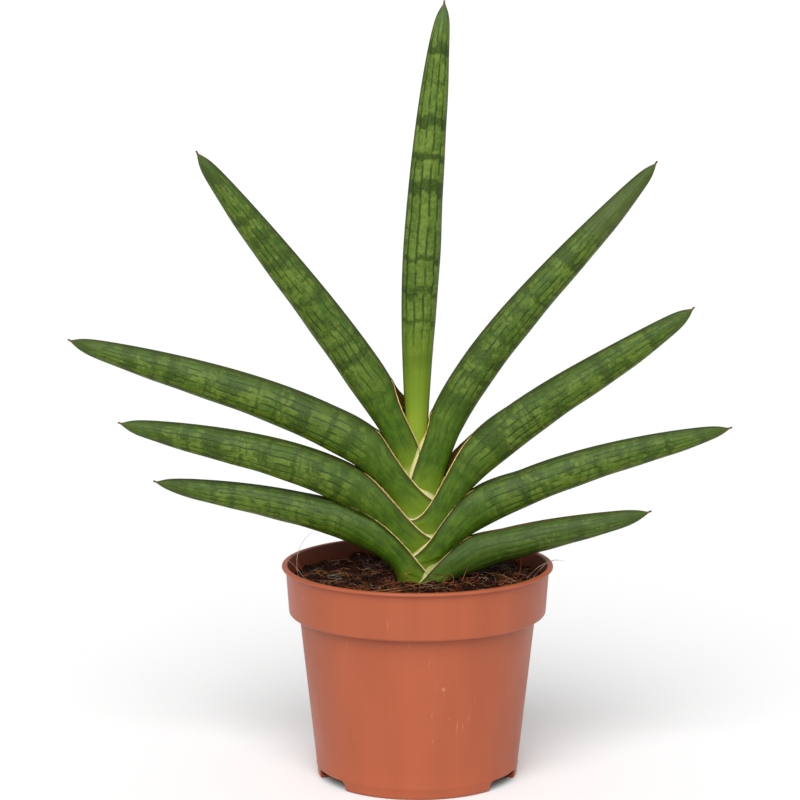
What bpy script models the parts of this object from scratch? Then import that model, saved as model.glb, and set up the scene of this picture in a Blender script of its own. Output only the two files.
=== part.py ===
"""A potted snake plant: a fan of nine thick, pointed leaves in a plastic nursery pot.

Frame: +Z up, +X across the fan, the fan's broad face looks along -Y. The origin is on the pot's axis,
on the flat underside that it stands on. Every leaf clasps the younger ones inside it, so each leaf is
carved by the leaves that it wraps, grown by the fit gap.
"""

import math
from bisect import bisect_left
from dataclasses import dataclass
from functools import lru_cache

import bmesh
import bpy
from mathutils import Vector, noise

MM = 0.001
FIT_GAP = 0.35 * MM  # space left between a piece and the piece that carves it
MERGE_DISTANCE = 0.002 * MM

# Pot: a turned shell with a wide collar, a small lip and three drainage notches in its foot
POT_HEIGHT = 95 * MM
POT_WALL = 0.8 * MM
POT_FLOOR = 1.2 * MM
LIP_RADIUS = 60 * MM
LIP_HEIGHT = 1.5 * MM
COLLAR_TOP_RADIUS = 58.2 * MM
COLLAR_FOOT_RADIUS = 56.9 * MM
COLLAR_HEIGHT = 21.7 * MM
COLLAR_ROUNDING = 1.3 * MM
BODY_TOP_RADIUS = 52.3 * MM
BODY_FOOT_RADIUS = 44.3 * MM
FOOT_ROUNDING = 1.5 * MM
NOTCH_BEARINGS = (60, 180, 300)  # degrees round from the front
NOTCH_HALF_ANGLE = math.radians(15)
NOTCH_HEIGHT = 4.6 * MM
NOTCH_ROUNDING = 2.6 * MM
NOTCH_DEPTH = 7 * MM
NOTCH_CLEARANCE = 4 * MM  # how far a notch cutter runs on past the pot
POT_SEGMENTS = 72

# Growing mix: fills the pot to a little below the lip, raised a little round the plant
SOIL_LEVEL = POT_HEIGHT - 7 * MM
SOIL_MOUND = 2 * MM
SOIL_MOUND_RADIUS = 22 * MM
SOIL_LUMP = 1.1 * MM
SOIL_LUMP_SPREAD = 9 * MM  # how far apart the lumps lie
SOIL_OVER_NOTCH = 2 * MM  # how far above the notches the mix begins
SOIL_TOP_BAND = 1 * MM  # points this close under the level belong to the top
SOIL_RINGS = 7
SOIL_SEGMENTS = 40

# Crown: the short upright stem that all the leaves grow from
CROWN_FOOT = 66 * MM
CROWN_TOP = 127.6 * MM
CROWN_FOOT_RADIUS = 5.5 * MM
CROWN_TOP_RADIUS = 1.8 * MM
CROWN_SEGMENTS = 14

# Leaves: sections along a curved spine
LEAF_STATIONS = 19
LEAF_SECTION_POINTS = 16
STATION_CROWDING = 1.25  # over 1 crowds the sections together towards the tip
SPINE_STEPS = 200  # for measuring along a spine
TIP_TAPER_SHARE = 0.75  # the share of the length, from the tip, over which the leaf still widens
SPIKE_LENGTH = 3.2 * MM  # the end of the tip narrows to a dry spike
SPIKE_EXPONENT = 1.3
TIP_RADIUS = 0.4 * MM
FREE_DEPTH_SHARE = 0.96  # depth over width of the free blade
INNER_SHEATH_HALF_DEPTH = 6 * MM
SHEATH_STEP = 0.6 * MM  # how much deeper each leaf's sheath is than the one inside it
CHANNEL_EXPONENT = 8  # how square the clasping side of a sheath is; 2 is a plain ellipse
SMALLEST_KEPT_SHARE = 0.2  # a carved-off scrap under this share of the vertices is removed


@dataclass(frozen=True)
class Leaf:
    """One leaf, in millimetres and degrees from upright; minus is to the left."""

    name: str
    root: tuple  # x, z
    root_angle: float
    root_reach: float
    tip: tuple  # x, z
    tip_angle: float
    tip_reach: float
    girth: float
    root_share: float  # width at the root over the girth
    swell_share: float  # share of the length by which the full girth is reached
    clasp_share: float  # share of the length that clasps the leaves inside
    bluntness: float  # exponent of the tip's taper; lower is blunter
    lean: float  # how far back the tip leans


# From the innermost, youngest leaf to the outermost
LEAVES = (
    Leaf("leaf_centre", (1, 128), -6, 39, (11.6, 341.5), 8, 70, 17.4, 0.50, 0.52, 0.20, 0.43, 4),
    Leaf("leaf_left_1", (-0.5, 121), 9, 36, (-95.5, 277.5), -35, 69, 18.1, 0.48, 0.36, 0.29, 0.49, -7),
    Leaf("leaf_right_1", (1.5, 115), 4, 62, (104.3, 272.2), 40.5, 78, 17.1, 0.70, 0.37, 0.26, 0.49, 6),
    Leaf("leaf_left_2", (-0.5, 109), 4, 51, (-154, 193.5), -72.5, 50, 18.9, 0.52, 0.30, 0.28, 0.50, 9),
    Leaf("leaf_right_2", (2, 103), 22, 60, (119.8, 209.5), 52.5, 67, 18.5, 0.45, 0.38, 0.33, 0.49, -8),
    Leaf("leaf_left_3", (-0.5, 97), -19, 47, (-131, 159), -76, 51, 18.4, 0.74, 0.33, 0.32, 0.54, -6),
    Leaf("leaf_right_3", (2, 91), 24, 44, (139.3, 154.3), 77, 50, 16.5, 0.62, 0.32, 0.30, 0.54, 9),
    Leaf("leaf_left_4", (-3, 84.6), 0, 35, (-117, 130.7), -79, 33, 15.7, 0.70, 0.34, 0.38, 0.54, 6),
    Leaf("leaf_right_4", (4, 79), 0, 24, (102.7, 120), 74, 34, 14.9, 0.55, 0.27, 0.42, 0.56, -7),
)


def clear_scene():
    for thing in list(bpy.data.objects):
        bpy.data.objects.remove(thing)


def smooth_step(share):
    share = min(max(share, 0.0), 1.0)
    return share * share * (3 - 2 * share)


def mix(first, second, share):
    return first + (second - first) * share


# ---- materials -------------------------------------------------------------------------------------


def make_material(name, colour, roughness):
    material = bpy.data.materials.new(name)
    material.use_nodes = True
    shader = material.node_tree.nodes["Principled BSDF"]
    shader.inputs["Base Color"].default_value = (*colour, 1)
    shader.inputs["Roughness"].default_value = roughness
    shader.inputs["Metallic"].default_value = 0
    return material


def link_object(name, mesh, material=None):
    thing = bpy.data.objects.new(name, mesh)
    bpy.context.scene.collection.objects.link(thing)
    if material:
        mesh.materials.append(material)
    return thing


def mesh_from(name, bm):
    bmesh.ops.recalc_face_normals(bm, faces=bm.faces)
    mesh = bpy.data.meshes.new(name)
    bm.to_mesh(mesh)
    bm.free()
    return mesh


def shade_round(mesh, sharp_angle=math.radians(35)):
    mesh.shade_smooth()
    mesh.set_sharp_from_angle(angle=sharp_angle)


# ---- carving ---------------------------------------------------------------------------------------


def hide_cutter(thing):
    thing.hide_render = True
    thing.display_type = "WIRE"


def drop_scraps(bm):
    """Removes small loose bodies that a carving left behind."""
    unseen = set(bm.verts)
    bodies = []
    while unseen:
        stack = [unseen.pop()]
        body = set(stack)
        while stack:
            for edge in stack.pop().link_edges:
                for vertex in edge.verts:
                    if vertex in unseen:
                        unseen.discard(vertex)
                        body.add(vertex)
                        stack.append(vertex)
        bodies.append(body)
    least = SMALLEST_KEPT_SHARE * len(bm.verts)
    scraps = [vertex for body in bodies if len(body) < least for vertex in body]
    bmesh.ops.delete(bm, geom=scraps, context="VERTS")


def carve(thing, cutters):
    """Cuts all the cutters out of thing with one exact Boolean, and keeps the result as its mesh."""
    together = bpy.data.collections.new("cutters")
    bpy.context.scene.collection.children.link(together)
    for cutter in cutters:
        together.objects.link(cutter)
    cut = thing.modifiers.new("carve", "BOOLEAN")
    cut.operation = "DIFFERENCE"
    cut.solver = "EXACT"
    cut.operand_type = "COLLECTION"
    cut.collection = together
    cut.use_self = True
    evaluated = thing.evaluated_get(bpy.context.evaluated_depsgraph_get())
    bm = bmesh.new()
    bm.from_mesh(evaluated.to_mesh())
    drop_scraps(bm)
    bmesh.ops.dissolve_degenerate(bm, dist=MERGE_DISTANCE, edges=bm.edges)
    thing.modifiers.clear()
    bpy.data.collections.remove(together)
    bm.to_mesh(thing.data)
    bm.free()
    shade_round(thing.data)


# ---- leaves ----------------------------------------------------------------------------------------


def heading(angle):
    """Unit vector in the fan's plane, that many degrees from upright towards +X."""
    turn = math.radians(angle)
    return Vector((math.sin(turn), 0, math.cos(turn)))


def cubic(leaf, time):
    """A point on the leaf's cubic spine in the fan's plane, and the slope there."""
    root = Vector((leaf.root[0], 0, leaf.root[1]))
    tip = Vector((leaf.tip[0], 0, leaf.tip[1]))
    first = root + heading(leaf.root_angle) * leaf.root_reach
    second = tip - heading(leaf.tip_angle) * leaf.tip_reach
    rest = 1 - time
    point = root * rest**3 + first * 3 * rest**2 * time + second * 3 * rest * time**2 + tip * time**3
    slope = (first - root) * rest**2 + (second - first) * 2 * rest * time + (tip - second) * time**2
    return point, slope


@lru_cache
def walked_lengths(leaf):
    """How far along the spine each of many small, even steps of the cubic's own measure lies."""
    walked, here = [0.0], cubic(leaf, 0)[0]
    for step in range(1, SPINE_STEPS + 1):
        there = cubic(leaf, step / SPINE_STEPS)[0]
        walked.append(walked[-1] + (there - here).length)
        here = there
    return walked


def spine_point(leaf, share):
    """A point at that share of the spine's length, and the spine's unit direction there."""
    walked = walked_lengths(leaf)
    goal = share * walked[-1]
    step = min(bisect_left(walked, goal, 1), SPINE_STEPS)
    part = (goal - walked[step - 1]) / (walked[step] - walked[step - 1])
    point, slope = cubic(leaf, (step - 1 + part) / SPINE_STEPS)
    point.y = leaf.lean * share**2
    return point * MM, slope.normalized()


def half_width(leaf, share):
    widening = min((1 - share) / TIP_TAPER_SHARE, 1)
    taper = (1 - (1 - widening) ** 2) ** leaf.bluntness
    swell = mix(leaf.root_share, 1, smooth_step(share / leaf.swell_share))
    from_tip = (1 - share) * walked_lengths(leaf)[-1] * MM
    spike = 1 - math.exp(-((from_tip / SPIKE_LENGTH) ** SPIKE_EXPONENT))
    return max(leaf.girth * MM / 2 * taper * swell * spike, TIP_RADIUS)


def half_depth(leaf, order, share):
    """The sheath's depth near the root, turning into the blade's depth where the leaf comes free."""
    sheath = INNER_SHEATH_HALF_DEPTH + SHEATH_STEP * order
    blade = FREE_DEPTH_SHARE * half_width(leaf, share)
    return mix(sheath, blade, smooth_step(share / leaf.clasp_share))


def section(leaf, order, share, grow):
    """Points round the leaf at one station: an ellipse, squared off on the clasping side in the sheath."""
    centre, along = spine_point(leaf, share)
    side = -1 if leaf.tip_angle < 0 else 1
    inward = Vector((-along.z, 0, along.x)) * side  # towards the middle of the fan
    width = half_width(leaf, share) + grow
    depth = half_depth(leaf, order, share) + grow
    squareness = mix(CHANNEL_EXPONENT, 2, smooth_step(share / leaf.clasp_share))
    points = []
    for step in range(LEAF_SECTION_POINTS):
        turn = 2 * math.pi * (step + 0.5) / LEAF_SECTION_POINTS
        across, out = math.cos(turn), math.sin(turn)
        if across > 0:
            across = across ** (2 / squareness)
            out = math.copysign(abs(out) ** (2 / squareness), out)
        points.append(centre + inward * (width * across) + Vector((0, depth * out, 0)))
    return points


def leaf_mesh(leaf, order, grow=0.0):
    """The whole leaf as a closed loft, before the leaves inside it are carved out."""
    bm = bmesh.new()
    rings = []
    for station in range(LEAF_STATIONS):
        # stations crowd together towards the tip, where the outline curves most
        share = 1 - (1 - station / (LEAF_STATIONS - 1)) ** STATION_CROWDING
        rings.append([bm.verts.new(point) for point in section(leaf, order, share, grow)])
    for lower, upper in zip(rings, rings[1:]):
        for here in range(LEAF_SECTION_POINTS):
            after = (here + 1) % LEAF_SECTION_POINTS
            bm.faces.new((lower[here], lower[after], upper[after], upper[here]))
    bm.faces.new(list(reversed(rings[0])))
    bm.faces.new(rings[-1])
    return mesh_from(leaf.name, bm)


def make_leaves(crown_cutter, material):
    """Builds every leaf, each carved by the crown and the leaves inside it, and returns the cutters."""
    cutters = [crown_cutter]
    for order, leaf in enumerate(LEAVES):
        thing = link_object(leaf.name, leaf_mesh(leaf, order), material)
        carve(thing, cutters)
        cutter = link_object("cutter_" + leaf.name, leaf_mesh(leaf, order, FIT_GAP))
        hide_cutter(cutter)
        cutters.append(cutter)
    return cutters


# ---- turned pieces ---------------------------------------------------------------------------------


def turn_profile(name, profile, segments):
    """Spins an (r, z) outline about Z into a closed shell; its first and last points lie on the axis."""
    bm = bmesh.new()
    outline = [bm.verts.new((0, -radius, height)) for radius, height in profile]
    edges = [bm.edges.new(pair) for pair in zip(outline, outline[1:])]
    full_turn = {"cent": (0, 0, 0), "axis": (0, 0, 1), "angle": 2 * math.pi}
    bmesh.ops.spin(bm, geom=outline + edges, steps=segments, use_merge=True, **full_turn)
    bmesh.ops.remove_doubles(bm, verts=bm.verts, dist=MERGE_DISTANCE)
    return mesh_from(name, bm)


def crown_profile(grow=0.0):
    taper_steps = 4
    profile = [(0, CROWN_FOOT - grow)]
    for step in range(taper_steps + 1):
        share = step / taper_steps
        radius = mix(CROWN_FOOT_RADIUS, CROWN_TOP_RADIUS, share) + grow
        profile.append((radius, mix(CROWN_FOOT, CROWN_TOP, share) + grow * (2 * share - 1)))
    profile.append((0, CROWN_TOP + grow))
    return profile


def body_radius(height):
    """The outside of the pot's body at that height."""
    return mix(BODY_FOOT_RADIUS, BODY_TOP_RADIUS, height / (POT_HEIGHT - COLLAR_HEIGHT))


def arc(centre, radius, first_angle, last_angle, steps):
    """Points along a circular arc, angles in degrees."""
    points = []
    for step in range(steps + 1):
        turn = math.radians(mix(first_angle, last_angle, step / steps))
        points.append((centre[0] + radius * math.cos(turn), centre[1] + radius * math.sin(turn)))
    return points


def pot_profile():
    shoulder = POT_HEIGHT - COLLAR_HEIGHT
    under_lip = POT_HEIGHT - LIP_HEIGHT
    bead = LIP_HEIGHT / 2
    foot_centre = (body_radius(FOOT_ROUNDING) - FOOT_ROUNDING, FOOT_ROUNDING)
    collar_centre = (COLLAR_FOOT_RADIUS - COLLAR_ROUNDING, shoulder + COLLAR_ROUNDING)
    ledge = shoulder + POT_WALL
    outside = [
        (0, 0),
        *arc(foot_centre, FOOT_ROUNDING, -90, 0, 3),
        (BODY_TOP_RADIUS, shoulder),
        *arc(collar_centre, COLLAR_ROUNDING, -90, 0, 3),
        (COLLAR_TOP_RADIUS, under_lip),
        *arc((LIP_RADIUS - bead, under_lip + bead), bead, -90, 90, 4),
    ]
    inside = [
        (COLLAR_TOP_RADIUS - POT_WALL, POT_HEIGHT),
        (COLLAR_FOOT_RADIUS - POT_WALL, ledge),
        (BODY_TOP_RADIUS - POT_WALL, ledge),
        (body_radius(2 * POT_FLOOR) - POT_WALL, 2 * POT_FLOOR),
        (body_radius(2 * POT_FLOOR) - POT_WALL - POT_FLOOR, POT_FLOOR),
        (0, POT_FLOOR),
    ]
    return outside + inside


def notch_outline():
    """An arch with rounded shoulders, as (across, height) points."""
    half_span = BODY_FOOT_RADIUS * math.sin(NOTCH_HALF_ANGLE)
    inset = half_span - NOTCH_ROUNDING
    spring = NOTCH_HEIGHT - NOTCH_ROUNDING
    right = arc((inset, spring), NOTCH_ROUNDING, 0, 90, 4)
    left = arc((-inset, spring), NOTCH_ROUNDING, 90, 180, 4)
    return [(half_span, -NOTCH_CLEARANCE), *right, *left, (-half_span, -NOTCH_CLEARANCE)]


def notch_cutter(bearing):
    """Cuts in through the foot from outside, at one bearing."""
    bm = bmesh.new()
    outline = notch_outline()
    near, far = BODY_FOOT_RADIUS - NOTCH_DEPTH, BODY_FOOT_RADIUS + NOTCH_CLEARANCE
    rings = []
    for distance in (near, far):
        rings.append([bm.verts.new((across, -distance, height)) for across, height in outline])
    for here in range(len(outline)):
        after = (here + 1) % len(outline)
        bm.faces.new((rings[0][here], rings[0][after], rings[1][after], rings[1][here]))
    bm.faces.new(rings[0])
    bm.faces.new(rings[1])
    cutter = link_object("cutter_notch", mesh_from("cutter_notch", bm))
    cutter.rotation_euler.z = math.radians(bearing)
    hide_cutter(cutter)
    return cutter


def make_pot(material):
    pot = link_object("pot", turn_profile("pot", pot_profile(), POT_SEGMENTS), material)
    carve(pot, [notch_cutter(bearing) for bearing in NOTCH_BEARINGS])
    return pot


def soil_height(x, y):
    """The uneven top of the growing mix."""
    reach = math.hypot(x, y) / SOIL_MOUND_RADIUS
    lumps = noise.noise(Vector((x, y, 0)) / SOIL_LUMP_SPREAD) * SOIL_LUMP
    return SOIL_LEVEL + SOIL_MOUND * math.exp(-reach * reach) + lumps


def soil_profile():
    """The mix fills the shell to the wall, bridging over the notches; soil_height shapes its top later."""
    shoulder = POT_HEIGHT - COLLAR_HEIGHT + POT_WALL
    away = POT_WALL + FIT_GAP
    floor = 2 * POT_FLOOR + FIT_GAP
    collar_share = (SOIL_LEVEL - shoulder) / (COLLAR_HEIGHT - POT_WALL)
    top_radius = mix(COLLAR_FOOT_RADIUS, COLLAR_TOP_RADIUS, collar_share) - away
    over_notches = NOTCH_HEIGHT + SOIL_OVER_NOTCH
    profile = [
        (0, floor),
        (BODY_FOOT_RADIUS - NOTCH_DEPTH, floor),
        (body_radius(over_notches) - away, over_notches),
        (BODY_TOP_RADIUS - away, shoulder + FIT_GAP),
        (COLLAR_FOOT_RADIUS - away, shoulder + FIT_GAP),
    ]
    for ring in range(SOIL_RINGS, -1, -1):
        profile.append((top_radius * ring / SOIL_RINGS, SOIL_LEVEL))
    return profile


def make_soil(cutters, material):
    mesh = turn_profile("growing_mix", soil_profile(), SOIL_SEGMENTS)
    for vertex in mesh.vertices:
        if vertex.co.z > SOIL_LEVEL - SOIL_TOP_BAND:
            vertex.co.z = soil_height(vertex.co.x, vertex.co.y)
    soil = link_object("growing_mix", mesh, material)
    carve(soil, cutters)
    return soil


def main():
    clear_scene()
    terracotta = make_material("terracotta_plastic", (0.49, 0.135, 0.062), 0.5)
    leaf_green = make_material("leaf_green", (0.075, 0.16, 0.03), 0.45)
    crown_pale = make_material("crown_pale", (0.45, 0.42, 0.16), 0.6)
    peat = make_material("peat_brown", (0.045, 0.022, 0.012), 0.95)

    make_pot(terracotta)
    crown_mesh = turn_profile("crown", crown_profile(), CROWN_SEGMENTS)
    shade_round(crown_mesh)
    link_object("crown", crown_mesh, crown_pale)
    grown_crown = turn_profile("cutter_crown", crown_profile(FIT_GAP), CROWN_SEGMENTS)
    crown_cutter = link_object("cutter_crown", grown_crown)
    hide_cutter(crown_cutter)
    cutters = make_leaves(crown_cutter, leaf_green)
    make_soil(cutters, peat)


main()
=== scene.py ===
# %% [markdown]
# # A potted snake plant
#
# A young snake plant stands in a plastic nursery pot. Nine thick, pointed leaves spread in a flat fan,
# each one wrapped round the younger ones inside it. This lesson rebuilds it over a frame of plain
# solids that already has the right sizes: the pieces are built to fit them, and a piece that stands for one
# hides it.

# %% Load the frame
import math
import random

import bmesh
import bpy
import numpy as np
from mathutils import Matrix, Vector, noise


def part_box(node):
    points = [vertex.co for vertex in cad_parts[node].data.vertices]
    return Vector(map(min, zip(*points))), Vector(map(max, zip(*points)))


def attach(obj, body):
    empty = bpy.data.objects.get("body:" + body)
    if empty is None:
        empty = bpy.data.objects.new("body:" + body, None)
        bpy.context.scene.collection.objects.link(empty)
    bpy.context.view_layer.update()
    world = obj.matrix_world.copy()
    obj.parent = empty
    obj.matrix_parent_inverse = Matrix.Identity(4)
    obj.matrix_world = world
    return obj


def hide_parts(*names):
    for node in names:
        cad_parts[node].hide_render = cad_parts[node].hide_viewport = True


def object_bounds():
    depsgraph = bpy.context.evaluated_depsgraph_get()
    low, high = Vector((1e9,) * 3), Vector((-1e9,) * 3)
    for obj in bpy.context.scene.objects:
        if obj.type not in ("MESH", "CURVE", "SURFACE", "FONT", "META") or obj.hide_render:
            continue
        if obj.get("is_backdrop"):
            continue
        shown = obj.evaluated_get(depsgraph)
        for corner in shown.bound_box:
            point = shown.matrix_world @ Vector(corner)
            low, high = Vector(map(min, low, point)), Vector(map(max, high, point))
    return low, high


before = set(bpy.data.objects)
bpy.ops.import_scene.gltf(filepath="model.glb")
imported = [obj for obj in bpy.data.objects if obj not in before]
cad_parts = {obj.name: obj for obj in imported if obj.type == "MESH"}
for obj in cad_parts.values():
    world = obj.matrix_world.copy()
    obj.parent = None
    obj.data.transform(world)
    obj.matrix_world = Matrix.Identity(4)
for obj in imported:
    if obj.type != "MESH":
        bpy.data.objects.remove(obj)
frame_low, frame_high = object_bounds()
MM = 0.001
print("frame solids:", sorted(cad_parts))
print("frame size in mm:", [round(side / MM, 1) for side in frame_high - frame_low])

# %% [markdown]
# ## Small tools
#
# Almost every shape here is a grid of points: rings along a leaf, rings round a pot, strips, strands.
# So one helper turns a grid of rings into a closed mesh, and another hands a finished piece to the
# frame, with the solid it stands for.

# %% Helpers for grids, blending and colours
def blend(first, second, share):
    return first + (second - first) * share


def ease(share):
    """0 below 0, 1 above 1, and a smooth S between them. Takes numbers or arrays."""
    share = np.clip(share, 0, 1)
    return share * share * (3 - 2 * share)


def srgb(red, green, blue):
    """A colour as seen on a screen, 0 to 255, as the linear values that a shader wants."""
    return tuple(((value / 255 + 0.055) / 1.055) ** 2.4 for value in (red, green, blue)) + (1,)


def add_object(name, mesh, material=None):
    thing = bpy.data.objects.new(name, mesh)
    bpy.context.scene.collection.objects.link(thing)
    if material:
        mesh.materials.append(material)
    return thing


def grid_faces(rings, points, first=0):
    """Quads between neighbouring rings of a tube whose points run once round."""
    faces = []
    for ring in range(rings - 1):
        for here in range(points):
            after = (here + 1) % points
            low, high = first + ring * points, first + (ring + 1) * points
            faces.append((low + here, low + after, high + after, high + here))
    return faces


def tube_mesh(name, grid):
    """A closed tube from an array of rings, shape (rings, points, 3), with a cap at each end."""
    rings, points = grid.shape[:2]
    faces = grid_faces(rings, points)
    faces.append(tuple(reversed(range(points))))
    faces.append(tuple(range((rings - 1) * points, rings * points)))
    mesh = bpy.data.meshes.new(name)
    mesh.from_pydata(grid.reshape(-1, 3).tolist(), [], faces)
    face_outward(mesh)
    return mesh


def face_outward(mesh):
    bm = bmesh.new()
    bm.from_mesh(mesh)
    bmesh.ops.recalc_face_normals(bm, faces=bm.faces)
    bm.to_mesh(mesh)
    bm.free()


def write_uv(mesh, name, across, upward):
    """A UV map from two values for every point of the mesh."""
    loops = np.empty(len(mesh.loops), np.int32)
    mesh.loops.foreach_get("vertex_index", loops)
    values = np.column_stack([across[loops], upward[loops]]).astype(np.float32)
    mesh.uv_layers.new(name=name).data.foreach_set("uv", values.ravel())


def shade_round(mesh, sharp_degrees=40):
    mesh.shade_smooth()
    mesh.set_sharp_from_angle(angle=math.radians(sharp_degrees))


def hand_over(piece, node=None):
    """The piece rides on the frame's root body, and may stand for one of its solids, which is then hidden."""
    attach(piece, "root")
    if node:
        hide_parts(node)


def tell(piece):
    mesh = piece.data
    size = [round(side / MM, 1) for side in piece.dimensions]
    print(f"{piece.name}: {len(mesh.vertices)} points, {len(mesh.polygons)} faces, size {size} mm")


# %% [markdown]
# ## The leaves' spines
#
# A leaf of this plant is a thick, nearly round spear. It is easiest to describe by its spine, a curve
# from the root inside the fan to the tip, and by how thick it is along that spine. A cubic curve needs
# only two points and two directions, so each leaf stays a single readable line of sizes. The list runs
# from the innermost, youngest leaf to the outermost one, because that is the order of wrapping.

# %% The nine leaves, in millimetres and degrees from upright
LEAF_FIELDS = (
    "node root root_angle root_reach tip tip_angle tip_reach girth root_share swell clasp lean taper"
)
LEAVES = [
    dict(zip(LEAF_FIELDS.split(), row))
    for row in (
        ("leaf_centre", (1, 128), -6, 39, (11.6, 341.5), 8, 70, 17.4, 0.50, 0.52, 0.20, 4, 0.43),
        ("leaf_left_1", (-0.5, 121), 9, 36, (-95.5, 277.5), -35, 69, 18.1, 0.48, 0.36, 0.29, -7, 0.49),
        ("leaf_right_1", (1.5, 115), 4, 62, (104.3, 272.2), 40.5, 78, 17.1, 0.70, 0.41, 0.26, 6, 0.49),
        ("leaf_left_2", (-0.5, 109), 4, 51, (-154, 193.5), -72.5, 50, 18.9, 0.52, 0.32, 0.28, 9, 0.50),
        ("leaf_right_2", (2, 103), 22, 60, (120, 210), 52.5, 67, 18.5, 0.45, 0.43, 0.33, -8, 0.49),
        ("leaf_left_3", (-0.5, 97), -19, 47, (-131, 159), -76, 51, 18.4, 0.74, 0.33, 0.32, -6, 0.54),
        ("leaf_right_3", (2, 91), 24, 44, (139.3, 154.3), 77, 50, 16.5, 0.58, 0.38, 0.30, 9, 0.54),
        ("leaf_left_4", (-3, 84.6), 0, 35, (-117, 130.7), -79, 33, 15.7, 0.70, 0.34, 0.34, 6, 0.54),
        ("leaf_right_4", (4, 79), 0, 24, (102.7, 119.8), 72, 34, 15.0, 0.55, 0.27, 0.28, -7, 0.56),
    )
]


def toward(angle):
    """Unit step in the fan's plane, that many degrees from upright towards the right."""
    return np.array([math.sin(math.radians(angle)), math.cos(math.radians(angle))])


def spine(leaf, shares):
    """Points (x, z) and unit directions at shares of the leaf's length, in metres."""
    root, tip = np.array(leaf["root"], float), np.array(leaf["tip"], float)
    first = root + toward(leaf["root_angle"]) * leaf["root_reach"]
    second = tip - toward(leaf["tip_angle"]) * leaf["tip_reach"]

    def curve(time):
        rest, time = 1 - time[:, None], time[:, None]
        return root * rest**3 + 3 * first * rest**2 * time + 3 * second * rest * time**2 + tip * time**3

    fine = np.linspace(0, 1, 600)
    steps = np.linalg.norm(np.diff(curve(fine), axis=0), axis=1)
    walked = np.concatenate([[0], np.cumsum(steps)])
    times = np.interp(np.asarray(shares) * walked[-1], walked, fine)
    nudge = 1e-4
    ahead = curve(np.clip(times + nudge, 0, 1)) - curve(np.clip(times - nudge, 0, 1))
    leaf["length"] = walked[-1] * MM
    return curve(times) * MM, ahead / np.linalg.norm(ahead, axis=1)[:, None]


def inward_of(leaf, along):
    """Unit steps across the leaf, towards the middle of the fan."""
    return np.stack([-along[:, 1], along[:, 0]], axis=1) * leaf["side"]


HOLDS = {  # below this share of the length the outer side stays as broad as there, hidden in the wraps
    "leaf_left_1": 0.20,
    "leaf_right_1": 0.22,
    "leaf_left_2": 0.25,
    "leaf_right_2": 0.20,
    "leaf_left_3": 0.18,
    "leaf_right_3": 0.18,
}
for leaf in LEAVES:
    leaf["side"] = -1 if leaf["tip_angle"] < 0 else 1
    leaf["hold"] = HOLDS.get(leaf["node"], 0)
    spine(leaf, [0, 1])
    print(f"{leaf['node']}: {leaf['length'] / MM:.0f} mm long, {leaf['girth']:.1f} mm thick")

# %% [markdown]
# ## The leaves' sections
#
# Cut across a free blade and the section is nearly a circle, with a shallow groove on the side that
# faces the middle of the fan. Cut lower down, where the leaf wraps its neighbours, and the section is
# a deep C whose arms end in thin margins. Both are the same shape at heart, a rounded outer face and
# an inner face between two margins, so one recipe can blend from the C to the blade.

# %% Width, depth and groove along a leaf
TAPER_SHARE = 0.75  # over this share of the length, from the tip, the leaf still widens
TIP_RADIUS = 0.2 * MM
SPIKE_LENGTH = 3.2 * MM  # the last bit of the tip narrows to a dry spike
SPIKE_EXPONENT = 1.3
BLADE_DEPTH = 0.96  # depth over width of a free blade
INNER_SHEATH = 6 * MM  # half the depth of the innermost wrapped base
SHEATH_STEP = 0.6 * MM  # what each wrap adds
WRAP_SQUARENESS = 8  # of the wrapping arms; 2 is a plain ellipse
GROOVE_DEPTH = 0.10  # of the groove in a free blade, as a share of its half width


def half_width(leaf, share):
    widening = np.minimum((1 - share) / TAPER_SHARE, 1)
    taper = (1 - (1 - widening) ** 2) ** leaf["taper"]
    swell = blend(leaf["root_share"], 1, ease(share / leaf["swell"]))
    spike = 1 - np.exp(-(((1 - share) * leaf["length"] / SPIKE_LENGTH) ** SPIKE_EXPONENT))
    return np.maximum(leaf["girth"] * MM / 2 * taper * swell * spike, TIP_RADIUS)


def half_depth(leaf, order, share):
    sheath = INNER_SHEATH + SHEATH_STEP * order
    return blend(sheath, BLADE_DEPTH * half_width(leaf, share), ease(share / leaf["clasp"]))


def squareness(leaf, share):
    return blend(WRAP_SQUARENESS, 2, ease(share / leaf["clasp"]))


def outer_width(leaf, share):
    """Half width of the outer side, which stays broad down in the wraps, so that no gap opens there."""
    return half_width(leaf, np.maximum(share, leaf["hold"]))


def outer_depth(leaf, order, share, across):
    """Half the thickness at a distance across the leaf; minus is the outer side, plus the inner."""
    width = outer_width(leaf, share)
    reach = np.maximum(half_width(leaf, share), margin_edge(leaf, share) / EDGE_SHARE)
    level = np.clip(np.abs(across) / np.where(across > 0, reach, width), 0, 1)
    power = np.where(across > 0, squareness(leaf, share), 2)
    return half_depth(leaf, order, share) * (1 - level**power) ** (1 / power)


# %% [markdown]
# ## Where the margins run
#
# The crossing margins are the signature of the fan: each one runs from a fork, where its leaf parts
# from the next, down to a low end that the following leaf hides. A second cubic curve gives that line.
# Every ring of the leaf then asks the curve how far in its own margin lies, and above the fork the
# margins close to a narrow groove.

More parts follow.
